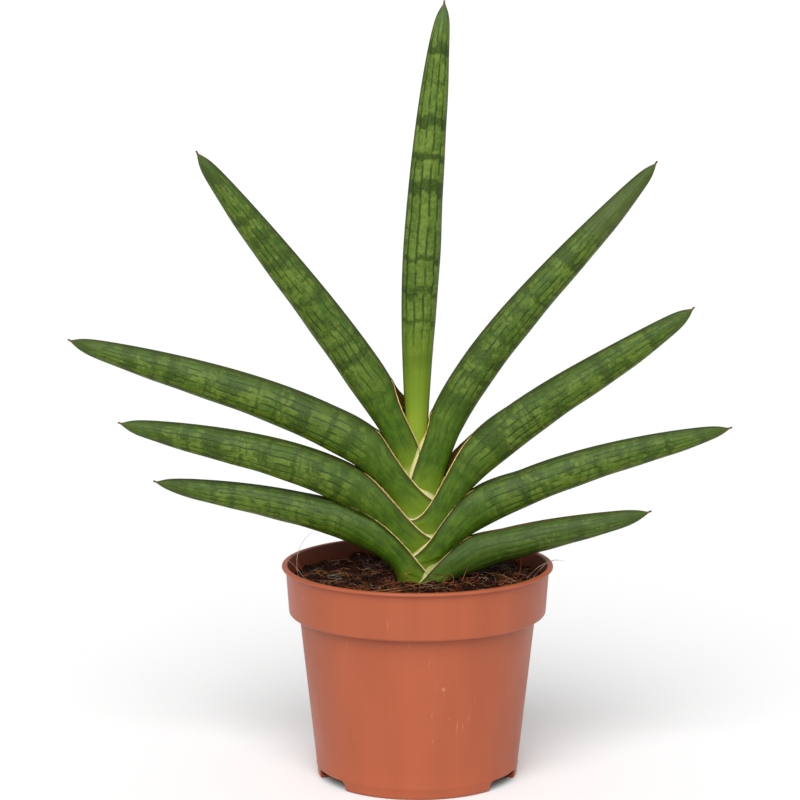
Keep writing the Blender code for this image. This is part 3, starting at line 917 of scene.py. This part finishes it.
def ribbon_mesh(name, leaf, order, face):
    """A thin closed strip along one margin, with UVs that run along it and across it."""
    sign = -1 if face == "front" else 1
    patch, patch_start, patch_end = (size * MM for size in MARGINS[leaf["node"]][-1])
    path, fork_index = ribbon_path(leaf)
    along = np.gradient(path, axis=0)
    along /= np.linalg.norm(along, axis=1)[:, None]
    inward = inward_of(leaf, along)
    walked = np.concatenate([[0], np.cumsum(np.linalg.norm(np.diff(path, axis=0), axis=1))])
    phase = random.Random(order * 7 + (face == "back")).uniform(0, 6)
    flap_width = BACK_FLAPS.get(leaf["node"], 0) * MM if face == "back" else 0
    rings, widths, levels = [], [], np.linspace(0, 1, 8)
    for index, place in enumerate(path):
        run = walked[index]
        past = ease((run - walked[fork_index]) / (walked[-1] - walked[fork_index]))
        near = ease((walked[fork_index] - run) / (9 * MM))
        foot = ease((run + 1 * MM) / (patch_start + 1 * MM)) * ease((patch_end - run) / PATCH_FADE)
        waves = 0.5 * noise.noise(Vector((run * 420 + phase, order, sign)))
        wrinkles = 0.3 * noise.noise(Vector((run * 1500, phase, sign)))
        ripple = 1 + waves + wrinkles
        paper = (PAPER_SIDE * ripple * blend(0.45, 1, near) + patch * foot) * blend(1, 0.15, past)
        leaf_side = LEAF_SIDE * blend(1, 0.4, past)
        from_fork = (walked[fork_index] - run) / FLAP_LENGTH
        flap = flap_width * ease(from_fork) * ease(run / FLAP_LENGTH)
        paper += flap
        widths.append(paper)
        offsets = np.concatenate([[-leaf_side, -0.4 * leaf_side], paper * np.linspace(0, 1, 6)])
        places = place + offsets[:, None] * inward[index]
        on_leaf = float(read_map(leaf["above"][face], place - inward[index] * 0.45 * MM))
        below = read_map(leaf["below"][face], places)
        below = np.where(below > 0, below, on_leaf - 1.4 * np.maximum(offsets, 0))
        stepped = blend(on_leaf, below, ease((offsets + 0.1 * MM) / (0.5 * MM)))
        top = stepped + SKIN
        under = stepped - 0.09 * MM
        upper = np.column_stack([places[:, 0], sign * top, places[:, 1]])
        lower = np.column_stack([places[:, 0], sign * under, places[:, 1]])
        rings.append(np.concatenate([upper, lower[::-1]]))
    mesh = tube_mesh(name, np.array(rings))
    top, under = (levels + 2, levels[::-1] + 1) if flap_width else (levels, levels[::-1])
    # 1 to 2 is a flap's brown side, 2 to 3 its green one
    levels = np.tile(np.concatenate([top, under]), len(path))
    write_uv(mesh, "margin_place", np.repeat(walked, 16), levels)
    write_uv(mesh, "margin_size", np.repeat(widths, 16), levels)
    shade_round(mesh, 60)
    return mesh


def margin_material():
    material, tree, shader = new_material("papery_margin", 0.75, 0.2)
    along, level = tree.uv("margin_place")
    flecks = tree.noise(tree.vector(tree.times(along, 1400.0), tree.times(level, 1.5)), 1.0, 3.0, 0.6)
    broad = tree.noise(None, 1.0, 2.0, flat=tree.times(along, 330.0))
    cream = tree.mix(tree.span(flecks, 0.35, 0.65), srgb(196, 168, 104), srgb(228, 208, 156))
    inner = tree.times(tree.span(broad, 0.44, 0.6, 0.0, 0.75), tree.span(level, 0.3, 0.6, 1.0, 0.15))
    cream = tree.mix(inner, cream, srgb(150, 98, 56))
    cream = tree.mix(tree.span(along, 0.002, 0.006, 0.85, 0.0), cream, srgb(178, 176, 136))
    brown = tree.mix(flecks, srgb(104, 48, 20), srgb(142, 80, 38))
    width, _ = tree.uv("margin_size")
    white_skin = tree.mix(flecks, srgb(164, 168, 98), srgb(200, 200, 146))
    cream = tree.mix(tree.span(width, 0.6 * MM, 1.4 * MM, 0.0, 0.8), cream, white_skin)
    colour = tree.mix(tree.span(level, 0.12, 0.26), brown, cream)
    colour = tree.mix(tree.span(level, 0.55, 0.95, 0.0, 0.75), colour, srgb(150, 156, 72))
    underside = tree.mix(flecks, srgb(84, 66, 20), srgb(120, 92, 34))
    colour = tree.mix(tree.span(level, 1.02, 1.12), colour, underside)
    leaf_skin = tree.mix(flecks, srgb(48, 70, 6), srgb(70, 96, 14))
    outside = tree.mix(tree.span(level, 2.86, 2.94), leaf_skin, cream)
    colour = tree.mix(tree.span(level, 1.999, 2.0, smooth=False), colour, outside)
    tree.feed(shader.inputs["Base Color"], colour)
    tree.feed(shader.inputs["Normal"], tree.bump(flecks, 0.08 * MM, 0.6))
    return material


papery_margin = margin_material()
for order, leaf in enumerate(LEAVES):
    for face in ("front", "back"):
        if leaf["node"] in MARGINS:
            name = f"margin_{leaf['node'][5:]}_{face}"
            ribbon = add_object(name, ribbon_mesh(name, leaf, order, face), papery_margin)
            hand_over(ribbon)
print("margins:", len(MARGINS) * 2)

# %% [markdown]
# ## The crown
#
# All the leaves grow from one short upright stem. The wraps hide it, so it stays the plain solid of
# the frame and only gets a pale, fleshy finish.

# %% Crown finish
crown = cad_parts["crown"]
crown_material, crown_tree, crown_shader = new_material("pale_crown", 0.6, 0.3)
crown_place = crown_tree.place()
crown_fleck = crown_tree.noise(crown_place, 400.0, 3.0)
crown_colour = crown_tree.mix(crown_fleck, srgb(170, 176, 96), srgb(204, 204, 140))
crown_tree.feed(crown_shader.inputs["Base Color"], crown_colour)
crown.data.materials.clear()
crown.data.materials.append(crown_material)

# %% [markdown]
# ## The pot
#
# A nursery pot is one thin shell of moulded plastic: a tapered body, a wide collar for stiffness and
# stacking, and a small rounded lip. A turned outline gives all of it. The three drainage notches are
# the only part that isn't round, so they are cut afterwards with arches.

# %% Turn the pot
POT_HEIGHT = 95 * MM
WALL = 0.8 * MM
FLOOR = 1.2 * MM
LIP_RADIUS = 60 * MM
LIP_HEIGHT = 1.5 * MM
COLLAR_TOP, COLLAR_FOOT, COLLAR_HEIGHT = 58.2 * MM, 56.9 * MM, 21.7 * MM
BODY_TOP, BODY_FOOT = 52.3 * MM, 44.3 * MM
POT_SIDES = 240
RING_OUT = 0.14 * MM  # a faint moulded ring just above the foot


def arc(centre, radius, start, stop, steps):
    turns = [math.radians(blend(start, stop, step / steps)) for step in range(steps + 1)]
    return [(centre[0] + radius * math.cos(turn), centre[1] + radius * math.sin(turn)) for turn in turns]


def body_radius(height):
    return blend(BODY_FOOT, BODY_TOP, height / (POT_HEIGHT - COLLAR_HEIGHT))


def upright(bottom, top, steps):
    """Points from one (radius, height) to another, so that a long wall isn't one long face."""
    shares = [step / steps for step in range(1, steps)]
    return [(blend(bottom[0], top[0], share), blend(bottom[1], top[1], share)) for share in shares]


def pot_outline():
    shoulder, under_lip = POT_HEIGHT - COLLAR_HEIGHT, POT_HEIGHT - LIP_HEIGHT
    foot_round, collar_round, bead = 1.5 * MM, 1.3 * MM, LIP_HEIGHT / 2
    fillet = 0.5 * MM
    collar_top = (COLLAR_TOP, under_lip - fillet)
    collar_foot = (COLLAR_FOOT, shoulder + collar_round)
    inner_top = (COLLAR_TOP - WALL, POT_HEIGHT - 0.5 * MM)
    outline = [(0, 0), (20 * MM, 0), (36 * MM, 0)]
    outline += arc((body_radius(foot_round) - foot_round, foot_round), foot_round, -90, 0, 6)
    for height, out in ((4.4 * MM, 0), (4.8 * MM, RING_OUT), (5.3 * MM, RING_OUT), (5.7 * MM, 0)):
        outline.append((body_radius(height) + out, height))
    outline += upright((body_radius(5.7 * MM), 5.7 * MM), (BODY_TOP, shoulder - fillet), 8)
    outline += arc((BODY_TOP + fillet, shoulder - fillet), fillet, 180, 90, 4)
    outline += arc((COLLAR_FOOT - collar_round, shoulder + collar_round), collar_round, -90, 0, 6)
    outline += upright(collar_foot, collar_top, 4)
    outline += arc((COLLAR_TOP + fillet, under_lip - fillet), fillet, 180, 90, 4)
    outline += arc((LIP_RADIUS - bead, under_lip + bead), bead, -90, 90, 8)
    outline += arc((inner_top[0] + 0.5 * MM, inner_top[1]), 0.5 * MM, 90, 180, 4)
    outline += upright(inner_top, (COLLAR_FOOT - WALL, shoulder + WALL), 3)
    outline += [(COLLAR_FOOT - WALL, shoulder + WALL), (BODY_TOP - WALL, shoulder + WALL)]
    outline += [(body_radius(3 * MM) - WALL, 3 * MM), (body_radius(3 * MM) - WALL - FLOOR, FLOOR), (0, FLOOR)]
    return outline


def turned_mesh(name, outline, sides):
    """Turns an outline whose first and last points lie on the axis into a closed shell."""
    rings = outline[1:-1]
    turns = [2 * math.pi * side / sides for side in range(sides)]
    points = [(r * math.cos(t), r * math.sin(t), z) for r, z in rings for t in turns]
    faces = grid_faces(len(rings), sides)
    points += [(0, 0, outline[0][1]), (0, 0, outline[-1][1])]
    last = (len(rings) - 1) * sides
    for here in range(sides):
        after = (here + 1) % sides
        faces.append((after, here, len(points) - 2))
        faces.append((last + here, last + after, len(points) - 1))
    mesh = bpy.data.meshes.new(name)
    mesh.from_pydata(points, [], faces)
    face_outward(mesh)
    return mesh


pot = add_object("nursery_pot", turned_mesh("nursery_pot", pot_outline(), POT_SIDES))

# %% [markdown]
# ## The drainage notches
#
# Three arches at the foot let water out sideways. They break the turned shape, so an arch-shaped
# cutter takes each of them out of the shell.

# %% Cut the drainage notches
NOTCH_HALF_ANGLE, NOTCH_HEIGHT, NOTCH_ROUND, NOTCH_DEPTH = 15, 4.6 * MM, 2.6 * MM, 7 * MM


def notch_cutter(bearing):
    half_span = BODY_FOOT * math.sin(math.radians(NOTCH_HALF_ANGLE))
    spring = NOTCH_HEIGHT - NOTCH_ROUND
    outline = [(half_span, -4 * MM)]
    outline += arc((half_span - NOTCH_ROUND, spring), NOTCH_ROUND, 0, 90, 10)
    outline += arc((NOTCH_ROUND - half_span, spring), NOTCH_ROUND, 90, 180, 10)
    outline += [(-half_span, -4 * MM)]
    near, far = BODY_FOOT - NOTCH_DEPTH, BODY_FOOT + 4 * MM
    rings = np.array([[(across, -away, height) for across, height in outline] for away in (near, far)])
    cutter = add_object("notch_cutter", tube_mesh("notch_cutter", rings))
    cutter.rotation_euler.z = math.radians(bearing)
    return cutter


def cut_away(piece, cutters):
    together = bpy.data.collections.new("cutters")
    bpy.context.scene.collection.children.link(together)
    for cutter in cutters:
        together.objects.link(cutter)
    cut = piece.modifiers.new("cut", "BOOLEAN")
    cut.solver, cut.operation, cut.operand_type = "EXACT", "DIFFERENCE", "COLLECTION"
    cut.collection = together
    finished = bpy.data.meshes.new_from_object(piece.evaluated_get(bpy.context.evaluated_depsgraph_get()))
    piece.modifiers.clear()
    piece.data = finished
    for cutter in cutters:
        bpy.data.objects.remove(cutter)
    bpy.data.collections.remove(together)


cut_away(pot, [notch_cutter(bearing) for bearing in (60, 180, 300)])
shade_round(pot.data, 32)

# %% [markdown]
# ## The pot's plastic
#
# The terracotta colour is in the plastic, so it has no grain like clay. What makes it real is small:
# a satin skin that isn't equally smooth everywhere, faint flow streaks from moulding, a few pale
# scuffs, and dust that dulls it.

# %% Wear group and pot material
def build_scuff_group():
    """Short pale scratches and specks, as one mask, and a soft cloudiness."""
    outputs = [("Mask", "NodeSocketFloat"), ("Cloud", "NodeSocketFloat")]
    group = new_group("scuffs", [("Amount", "NodeSocketFloat", 0.5)], outputs)
    tree = Tree(group)
    place = tree.place()
    specks = tree.put("ShaderNodeTexVoronoi", feature="F1")
    tree.feed(specks.inputs["Vector"], place)
    specks.inputs["Scale"].default_value = 75.0
    chosen = tree.math("GREATER_THAN", tree.noise(place, 31.0, 1.0), 0.60)
    dots = tree.times(tree.span(specks.outputs["Distance"], 0.04, 0.09, 1.0, 0.0), chosen)
    streak = tree.noise(place, 1.0, 3.0, 0.6, stretch=(900.0, 900.0, 55.0))
    where = tree.span(tree.noise(place, 26.0, 2.0), 0.55, 0.66)
    lines = tree.times(tree.span(streak, 0.66, 0.70), where)
    mask = tree.times(tree.math("MAXIMUM", dots, lines), group.nodes["Group Input"].outputs["Amount"])
    tree.feed(group.nodes["Group Output"].inputs["Mask"], mask)
    tree.feed(group.nodes["Group Output"].inputs["Cloud"], tree.noise(place, 22.0, 4.0, 0.6))
    return group


scuffs = build_scuff_group()


def pot_material():
    material, tree, shader = new_material("terracotta_plastic", 0.5, 0.4)
    wear = tree.put("ShaderNodeGroup")
    wear.node_tree = scuffs
    wear.inputs["Amount"].default_value = 0.4
    place = tree.place()
    flow = tree.noise(place, 1.0, 2.0, 0.5, stretch=(70.0, 70.0, 9.0))
    colour = tree.mix(tree.span(flow, 0.3, 0.7), srgb(155, 75, 43), srgb(163, 80, 47))
    colour = tree.mix(tree.span(wear.outputs["Cloud"], 0.35, 0.75, 0.0, 0.35), colour, srgb(152, 76, 46))
    colour = tree.mix(wear.outputs["Mask"], colour, srgb(204, 140, 112))
    # Painted shade: the inside wall above the mix is painted darker, for the shade down in the pot and for
    # soil stain.
    x, y, z = tree.parts(place)
    squares = tree.plus(tree.math("POWER", x, 2.0), tree.math("POWER", y, 2.0))
    reach = tree.math("SQRT", squares)
    shoulder = POT_HEIGHT - COLLAR_HEIGHT
    outer = tree.span(z, shoulder, POT_HEIGHT, COLLAR_FOOT, COLLAR_TOP, smooth=False)
    depth = tree.minus(outer, reach)
    inside = tree.times(tree.span(depth, 0.4 * WALL, 0.6 * WALL), tree.span(z, 0.075, 0.076))
    shade_and_stain = tree.mix(wear.outputs["Cloud"], srgb(60, 24, 12), srgb(104, 46, 26))
    colour = tree.mix(tree.times(inside, 0.7), colour, shade_and_stain)
    tree.feed(shader.inputs["Base Color"], colour)
    tree.feed(shader.inputs["Roughness"], tree.span(wear.outputs["Cloud"], 0.3, 0.7, 0.40, 0.52))
    texture = tree.noise(place, 1500.0, 2.0)
    tree.feed(shader.inputs["Normal"], tree.bump(texture, 0.03 * MM, 0.5))
    return material


pot.data.materials.clear()
pot.data.materials.append(pot_material())
hand_over(pot, "pot")
tell(pot)

# %% [markdown]
# ## The growing mix
#
# Peat and coir never lie flat: the surface is a loose crumb, dark and damp, a little higher against
# the plant. A polar grid gives an even mesh under the round lip, and layers of noise lift it. The
# crumbs and the fibres that lie on it are real pieces on top, because their shadows make the depth.

# %% Mound of mix
SOIL_LEVEL = 88 * MM
TOP_BAND = 1 * MM  # points this close under the level belong to the top
rng = random.Random(11)


def soil_height(x, y):
    reach = math.hypot(x, y)
    mound = 0.9 * MM * math.exp(-((reach / (30 * MM)) ** 2))
    hollow = 1.8 * MM * math.exp(-(((x + 17 * MM) ** 2 + (y + 9 * MM) ** 2) / (9 * MM) ** 2))
    lumps = noise.fractal(Vector((x, y, 0)) * 130, 0.9, 2.1, 5) * 2.1 * MM
    crumbs = noise.fractal(Vector((x, y, 1)) * 620, 0.8, 2.2, 3) * 0.55 * MM
    return SOIL_LEVEL - 0.6 * MM + mound - hollow + lumps + crumbs


def soil_mesh():
    shoulder = POT_HEIGHT - COLLAR_HEIGHT + WALL
    hug = WALL + 0.3 * MM
    outline = [(0, 3.2 * MM), (36 * MM, 3.2 * MM), (body_radius(8 * MM) - hug, 8 * MM)]
    outline += [(BODY_TOP - hug, shoulder + 0.3 * MM), (COLLAR_FOOT - hug, shoulder + 0.3 * MM)]
    rim = blend(COLLAR_FOOT, COLLAR_TOP, (SOIL_LEVEL - shoulder) / COLLAR_HEIGHT) - hug
    rings = 74
    outline += [(rim * (1 - ring / rings), SOIL_LEVEL) for ring in range(rings)] + [(0, SOIL_LEVEL)]
    mesh = turned_mesh("growing_mix_top", outline, 300)
    for point in mesh.vertices:
        if point.co.z > SOIL_LEVEL - TOP_BAND:
            point.co.z = soil_height(point.co.x, point.co.y)
    shade_round(mesh, 70)
    return mesh


def build_crumble_group():
    """Fine grain and wider patches, for everything made of peat or bark."""
    outputs = [("Grain", "NodeSocketFloat"), ("Patch", "NodeSocketFloat")]
    group = new_group("crumble", [("Scale", "NodeSocketFloat", 700.0)], outputs)
    tree = Tree(group)
    place = tree.place()
    scale = group.nodes["Group Input"].outputs["Scale"]
    out = group.nodes["Group Output"]
    tree.feed(out.inputs["Grain"], tree.noise(place, scale, 4.0, 0.7))
    tree.feed(out.inputs["Patch"], tree.noise(place, tree.math("DIVIDE", scale, 7.0), 3.0, 0.6))
    return group


crumble = build_crumble_group()


def soil_material(name, dark, light, scale=700.0):
    material, tree, shader = new_material(name, 0.9, 0.08)
    grains = tree.put("ShaderNodeGroup", node_tree=crumble)
    grains.inputs["Scale"].default_value = scale
    grain, patch = grains.outputs["Grain"], grains.outputs["Patch"]
    colour = tree.mix(tree.span(grain, 0.42, 0.66), dark, light)
    colour = tree.mix(tree.span(patch, 0.5, 0.7, 0.0, 0.6), colour, srgb(18, 8, 4))
    tree.feed(shader.inputs["Base Color"], colour)
    tree.feed(shader.inputs["Roughness"], tree.span(patch, 0.3, 0.7, 0.75, 0.95))
    tree.feed(shader.inputs["Normal"], tree.bump(grain, 0.5 * MM, 0.8))
    return material


peat = soil_material("damp_peat", srgb(16, 6, 2), srgb(46, 22, 12))
mix_top = add_object("growing_mix_top", soil_mesh(), peat)
hand_over(mix_top, "growing_mix")
tell(mix_top)

# %% [markdown]
# ## Crumbs
#
# Loose lumps of bark and peat lie half sunk in the mix. Each is a small ball, flattened and dented by
# noise, and all of them share one mesh.

# %% Crumbs of bark and peat
CRUMBS, CRUMB_REACH = 700, 55 * MM  # how many, and how far from the axis


def crumb_mesh(count):
    """Many small uneven lumps, half sunk in the surface, as one mesh."""
    bm = bmesh.new()
    for number in range(count):
        turn, reach = rng.uniform(0, 2 * math.pi), CRUMB_REACH * math.sqrt(rng.random())
        x, y = reach * math.cos(turn), reach * math.sin(turn)
        size = rng.choice((0.4, 0.5, 0.6, 0.8, 1.1)) * MM * rng.uniform(0.7, 1.2)
        made = bmesh.ops.create_icosphere(bm, subdivisions=1, radius=size)["verts"]
        flat = Vector((rng.uniform(0.8, 1.7), rng.uniform(0.6, 1.1), rng.uniform(0.35, 0.8)))
        spin = rng.uniform(0, math.pi)
        sunk = soil_height(x, y) + size * 0.25
        for point in made:
            co = point.co * (1 + 0.35 * noise.noise(point.co / size * 1.3 + Vector((number, 0, 0))))
            co = Vector((co.x * flat.x, co.y * flat.y, co.z * flat.z))
            across = co.x * math.cos(spin) - co.y * math.sin(spin)
            along = co.x * math.sin(spin) + co.y * math.cos(spin)
            co = Vector((across, along, co.z))
            point.co = co + Vector((x, y, sunk))
    mesh = bpy.data.meshes.new("mix_crumbs")
    bm.to_mesh(mesh)
    bm.free()
    shade_round(mesh, 30)
    return mesh


bark = soil_material("bark_crumb", srgb(22, 10, 5), srgb(62, 30, 16), 450.0)
crumbs = add_object("mix_crumbs", crumb_mesh(CRUMBS), bark)
hand_over(crumbs)
tell(crumbs)

# %% [markdown]
# ## Coir fibres
#
# Coconut fibre is what the eye catches on the mix: hundreds of stiff, curly hairs, tan, red-brown and
# grey, lying in tangles, with a few that stand up and some that cross the lip. Each is a thin tube
# along a wandering path. All strands of one colour share one mesh.

# %% Strands
FIBRE_REACH = 54 * MM  # where strands start
WALL_REACH = 56.4 * MM  # the pot's inside: a strand lies on the mix only within it
CLEAR_REACH = 56.6 * MM  # points past this are dropped, unless they are over the lip


def strand_path(start, heading, climb, length, curl, cling):
    """A wandering path; cling is how strongly it is drawn back to the surface of the mix."""
    steps = 11
    step = length / steps
    path, place = [], Vector(start)
    turning = rng.uniform(-curl, curl)
    for _ in range(steps + 1):
        path.append(place.copy())
        turning += rng.uniform(-curl, curl) * 0.5
        heading += turning * 0.35
        level = math.cos(climb)
        move = Vector((math.cos(heading) * level, math.sin(heading) * level, math.sin(climb)))
        place = place + move * step
        reach = math.hypot(place.x, place.y)
        if reach < WALL_REACH:
            ground = soil_height(place.x, place.y) + 0.35 * MM
            place.z = blend(place.z, max(ground, place.z * 0.3 + ground * 0.7), cling)
        climb *= 0.8
    return path


def tube_along(path, radius, points, faces, sides=4):
    first = len(points)
    for index, place in enumerate(path):
        ahead = (path[min(index + 1, len(path) - 1)] - path[max(index - 1, 0)]).normalized()
        side = ahead.cross(Vector((0.3, 0.2, 0.93))).normalized()
        other = ahead.cross(side)
        thin = radius * (0.35 + 0.65 * math.sin(math.pi * min(max(index / (len(path) - 1), 0.12), 0.88)))
        for corner in range(sides):
            turn = 2 * math.pi * corner / sides
            points.append(place + side * (math.cos(turn) * thin) + other * (math.sin(turn) * thin))
    faces += grid_faces(len(path), sides, first)
    faces.append(tuple(first + corner for corner in reversed(range(sides))))
    faces.append(tuple(first + (len(path) - 1) * sides + corner for corner in range(sides)))


def fibre_mesh(name, count, thickness, lengths, curl, strays):
    points, faces = [], []
    for _ in range(count):
        turn, reach = rng.uniform(0, 2 * math.pi), FIBRE_REACH * math.sqrt(rng.random())
        x, y = reach * math.cos(turn), reach * math.sin(turn)
        start = (x, y, soil_height(x, y) + rng.uniform(0.1, 0.9) * MM)
        lively = rng.random() < 0.3
        climb, cling = (rng.uniform(0.6, 1.4), 0.15) if lively else (rng.uniform(-0.1, 0.3), 0.7)
        path = strand_path(start, rng.uniform(0, 2 * math.pi), climb, rng.uniform(*lengths) * MM, curl, cling)
        over_lip = POT_HEIGHT + 0.2 * MM
        path = [Vector(p) for p in path if math.hypot(p.x, p.y) < CLEAR_REACH or p.z > over_lip]
        if len(path) > 3:
            tube_along(path, thickness * MM * rng.uniform(0.6, 1.3), points, faces)
    for path in strays:
        tube_along(path, 1.5 * thickness * MM, points, faces)
    mesh = bpy.data.meshes.new(name)
    mesh.from_pydata([tuple(point) for point in points], [], faces)
    face_outward(mesh)
    shade_round(mesh, 80)
    return mesh


def build_strand_group():
    """How light or dark a strand is along its length."""
    group = new_group("strand_tone", [], [("Tone", "NodeSocketFloat")])
    tree = Tree(group)
    tree.feed(group.nodes["Group Output"].inputs["Tone"], tree.noise(tree.place(), 160.0, 2.0))
    return group


strand_tone = build_strand_group()


def fibre_material(name, dark, light):
    material, tree, shader = new_material(name, 0.65, 0.2)
    tone = tree.put("ShaderNodeGroup", node_tree=strand_tone).outputs["Tone"]
    tree.feed(shader.inputs["Base Color"], tree.mix(tree.span(tone, 0.35, 0.65), dark, light))
    tree.feed(shader.inputs["Roughness"], tree.span(tone, 0.3, 0.7, 0.55, 0.75))
    return material


FIBRES = {  # strands, radius in mm, lengths in mm, curl, darker and lighter colour
    "tan": (230, 0.08, (6, 19), 1.6, srgb(120, 72, 38), srgb(176, 124, 76)),
    "red_brown": (460, 0.09, (5, 17), 1.8, srgb(74, 30, 13), srgb(126, 62, 30)),
    "grey": (100, 0.075, (6, 18), 1.4, srgb(108, 96, 84), srgb(160, 150, 138)),
    "dark": (420, 0.10, (5, 15), 1.8, srgb(22, 9, 4), srgb(48, 22, 12)),
}
STRAYS = {  # single strands, set one by one: start, two pulling points and end, in millimetres
    "tan": (
        ((-28, -34, 89.5), (-12, -40, 92), (2, -26, 91), (12, -16, 93)),
        ((-24, -38, 89), (-14, -38, 91), (0, -30, 90), (13, -20, 91)),
        ((-8, -12.8, 92.5), (-6, -13.2, 93), (-4, -12.9, 93.5), (-2.5, -12.5, 94.2)),
        ((10, -14, 88), (11, -16, 91), (14, -15, 93), (13, -13.5, 92)),
        ((14, -14, 88), (17, -17, 91), (16, -15, 94), (12, -14, 94)),
        ((19, -14, 89), (20, -15, 92), (21, -14, 94), (22, -12, 96.5)),
    ),
    "red_brown": (
        ((-50, -18, 88), (-53, -16, 96), (-55.5, -10, 101), (-56, -4, 100)),
        ((-46, -24, 88), (-50, -22, 96), (-51, -20, 99), (-55, -18, 103)),
        ((40, -18, 88), (44, -22, 94), (46, -16, 96), (45, -10, 100)),
        ((6, -20, 87.5), (12, -22, 92), (17, -20, 92), (20, -18, 88)),
    ),
    "grey": (
        ((-52, -10, 90), (-54, -8, 97), (-54, -2, 104), (-46, -2, 110)),
        ((-48, -16, 90), (-54, -14, 98), (-57, -9, 99), (-58.5, -5, 97.8)),
        ((48, -8, 90), (54, -8, 97), (58, -6, 98), (64.5, -6, 97.5)),
        ((50, -12, 90), (56, -10, 98), (58, -9, 98.5), (62, -8, 98.5)),
    ),
}


def stray_path(corners):
    start, first, second, end = (Vector(corner) * MM for corner in corners)
    path = []
    for t in (step / 16 for step in range(17)):
        near = start * (1 - t) ** 3 + first * (3 * t * (1 - t) ** 2)
        path.append(near + second * (3 * t * t * (1 - t)) + end * t**3)
    return path


for colour_name, (count, radius, lengths, curl, dark, light) in FIBRES.items():
    name = "coir_" + colour_name
    strays = [stray_path(corners) for corners in STRAYS.get(colour_name, ())]
    mesh = fibre_mesh(name, count, radius, lengths, curl, strays)
    fibres = add_object(name, mesh, fibre_material(name, dark, light))
    hand_over(fibres)
    tell(fibres)

# %% [markdown]
# ## The studio
#
# A plant for sale is shown on white, in soft light from all round, with a broad light high in front.
# The floor is plain and pale. The camera stands a little above the rim and looks slightly down, from
# far enough away that the fan isn't distorted.

# %% Floor, lights and camera
def plain_floor():
    mesh = bpy.data.meshes.new("floor")
    half = 3.0
    corners = [(-half, -half, 0), (half, -half, 0), (half, half, 0), (-half, half, 0)]
    mesh.from_pydata(corners, [], [(0, 1, 2, 3)])
    material, _, shader = new_material("pale_floor", 0.8, 0.2)
    shader.inputs["Base Color"].default_value = (0.86, 0.86, 0.86, 1)
    return add_object("floor", mesh, material)


def white_room(lighting, backdrop):
    """A white surround: one strength for what it lights, another for how bright it looks itself."""
    world = bpy.data.worlds.new("white_room")
    world.use_nodes = True
    tree = Tree(world.node_tree)
    background = world.node_tree.nodes["Background"]
    background.inputs["Color"].default_value = (1, 1, 1, 1)
    seen = tree.put("ShaderNodeLightPath").outputs["Is Camera Ray"]
    tree.feed(background.inputs["Strength"], tree.span(seen, 0.0, 1.0, lighting, backdrop, smooth=False))
    bpy.context.scene.world = world


def soft_sun(name, direction, power, spread):
    """Even light from one side; the spread in degrees is how soft its shadows are."""
    lamp = bpy.data.lights.new(name, "SUN")
    lamp.energy, lamp.angle = power, math.radians(spread)
    light = add_object(name, lamp)
    light.rotation_euler = Vector(direction).to_track_quat("-Z", "Y").to_euler()
    return light


plain_floor()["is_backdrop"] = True
white_room(0.5, 1.05)
soft_sun("key", (0.12, 1, -0.95), 3.3, 50)

camera = add_object("camera", bpy.data.cameras.new("camera"))
camera.data.lens, camera.data.sensor_width = 123.2, 36
camera.location = (-0.0077, -1.185, 0.3572)
look = Vector((-0.0077, 0, 0.1682)) - camera.location
camera.rotation_euler = look.to_track_quat("-Z", "Y").to_euler()
camera.data.clip_start = 0.05
bpy.context.scene.camera = camera
bpy.context.scene.view_settings.view_transform = "Standard"

# %% [markdown]
# ## Check the size
#
# The box round all the finished pieces is compared with the box round the plain solids, and how far
# it passes them at the low and the high side is printed.

# %% Compare the boxes
seen_low, seen_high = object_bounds()
print("outside the frame's box, low and high, in mm:")
low_side = [round((a - b) / MM, 1) for a, b in zip(frame_low, seen_low)]
high_side = [round((b - a) / MM, 1) for a, b in zip(frame_high, seen_high)]
print(low_side, high_side)
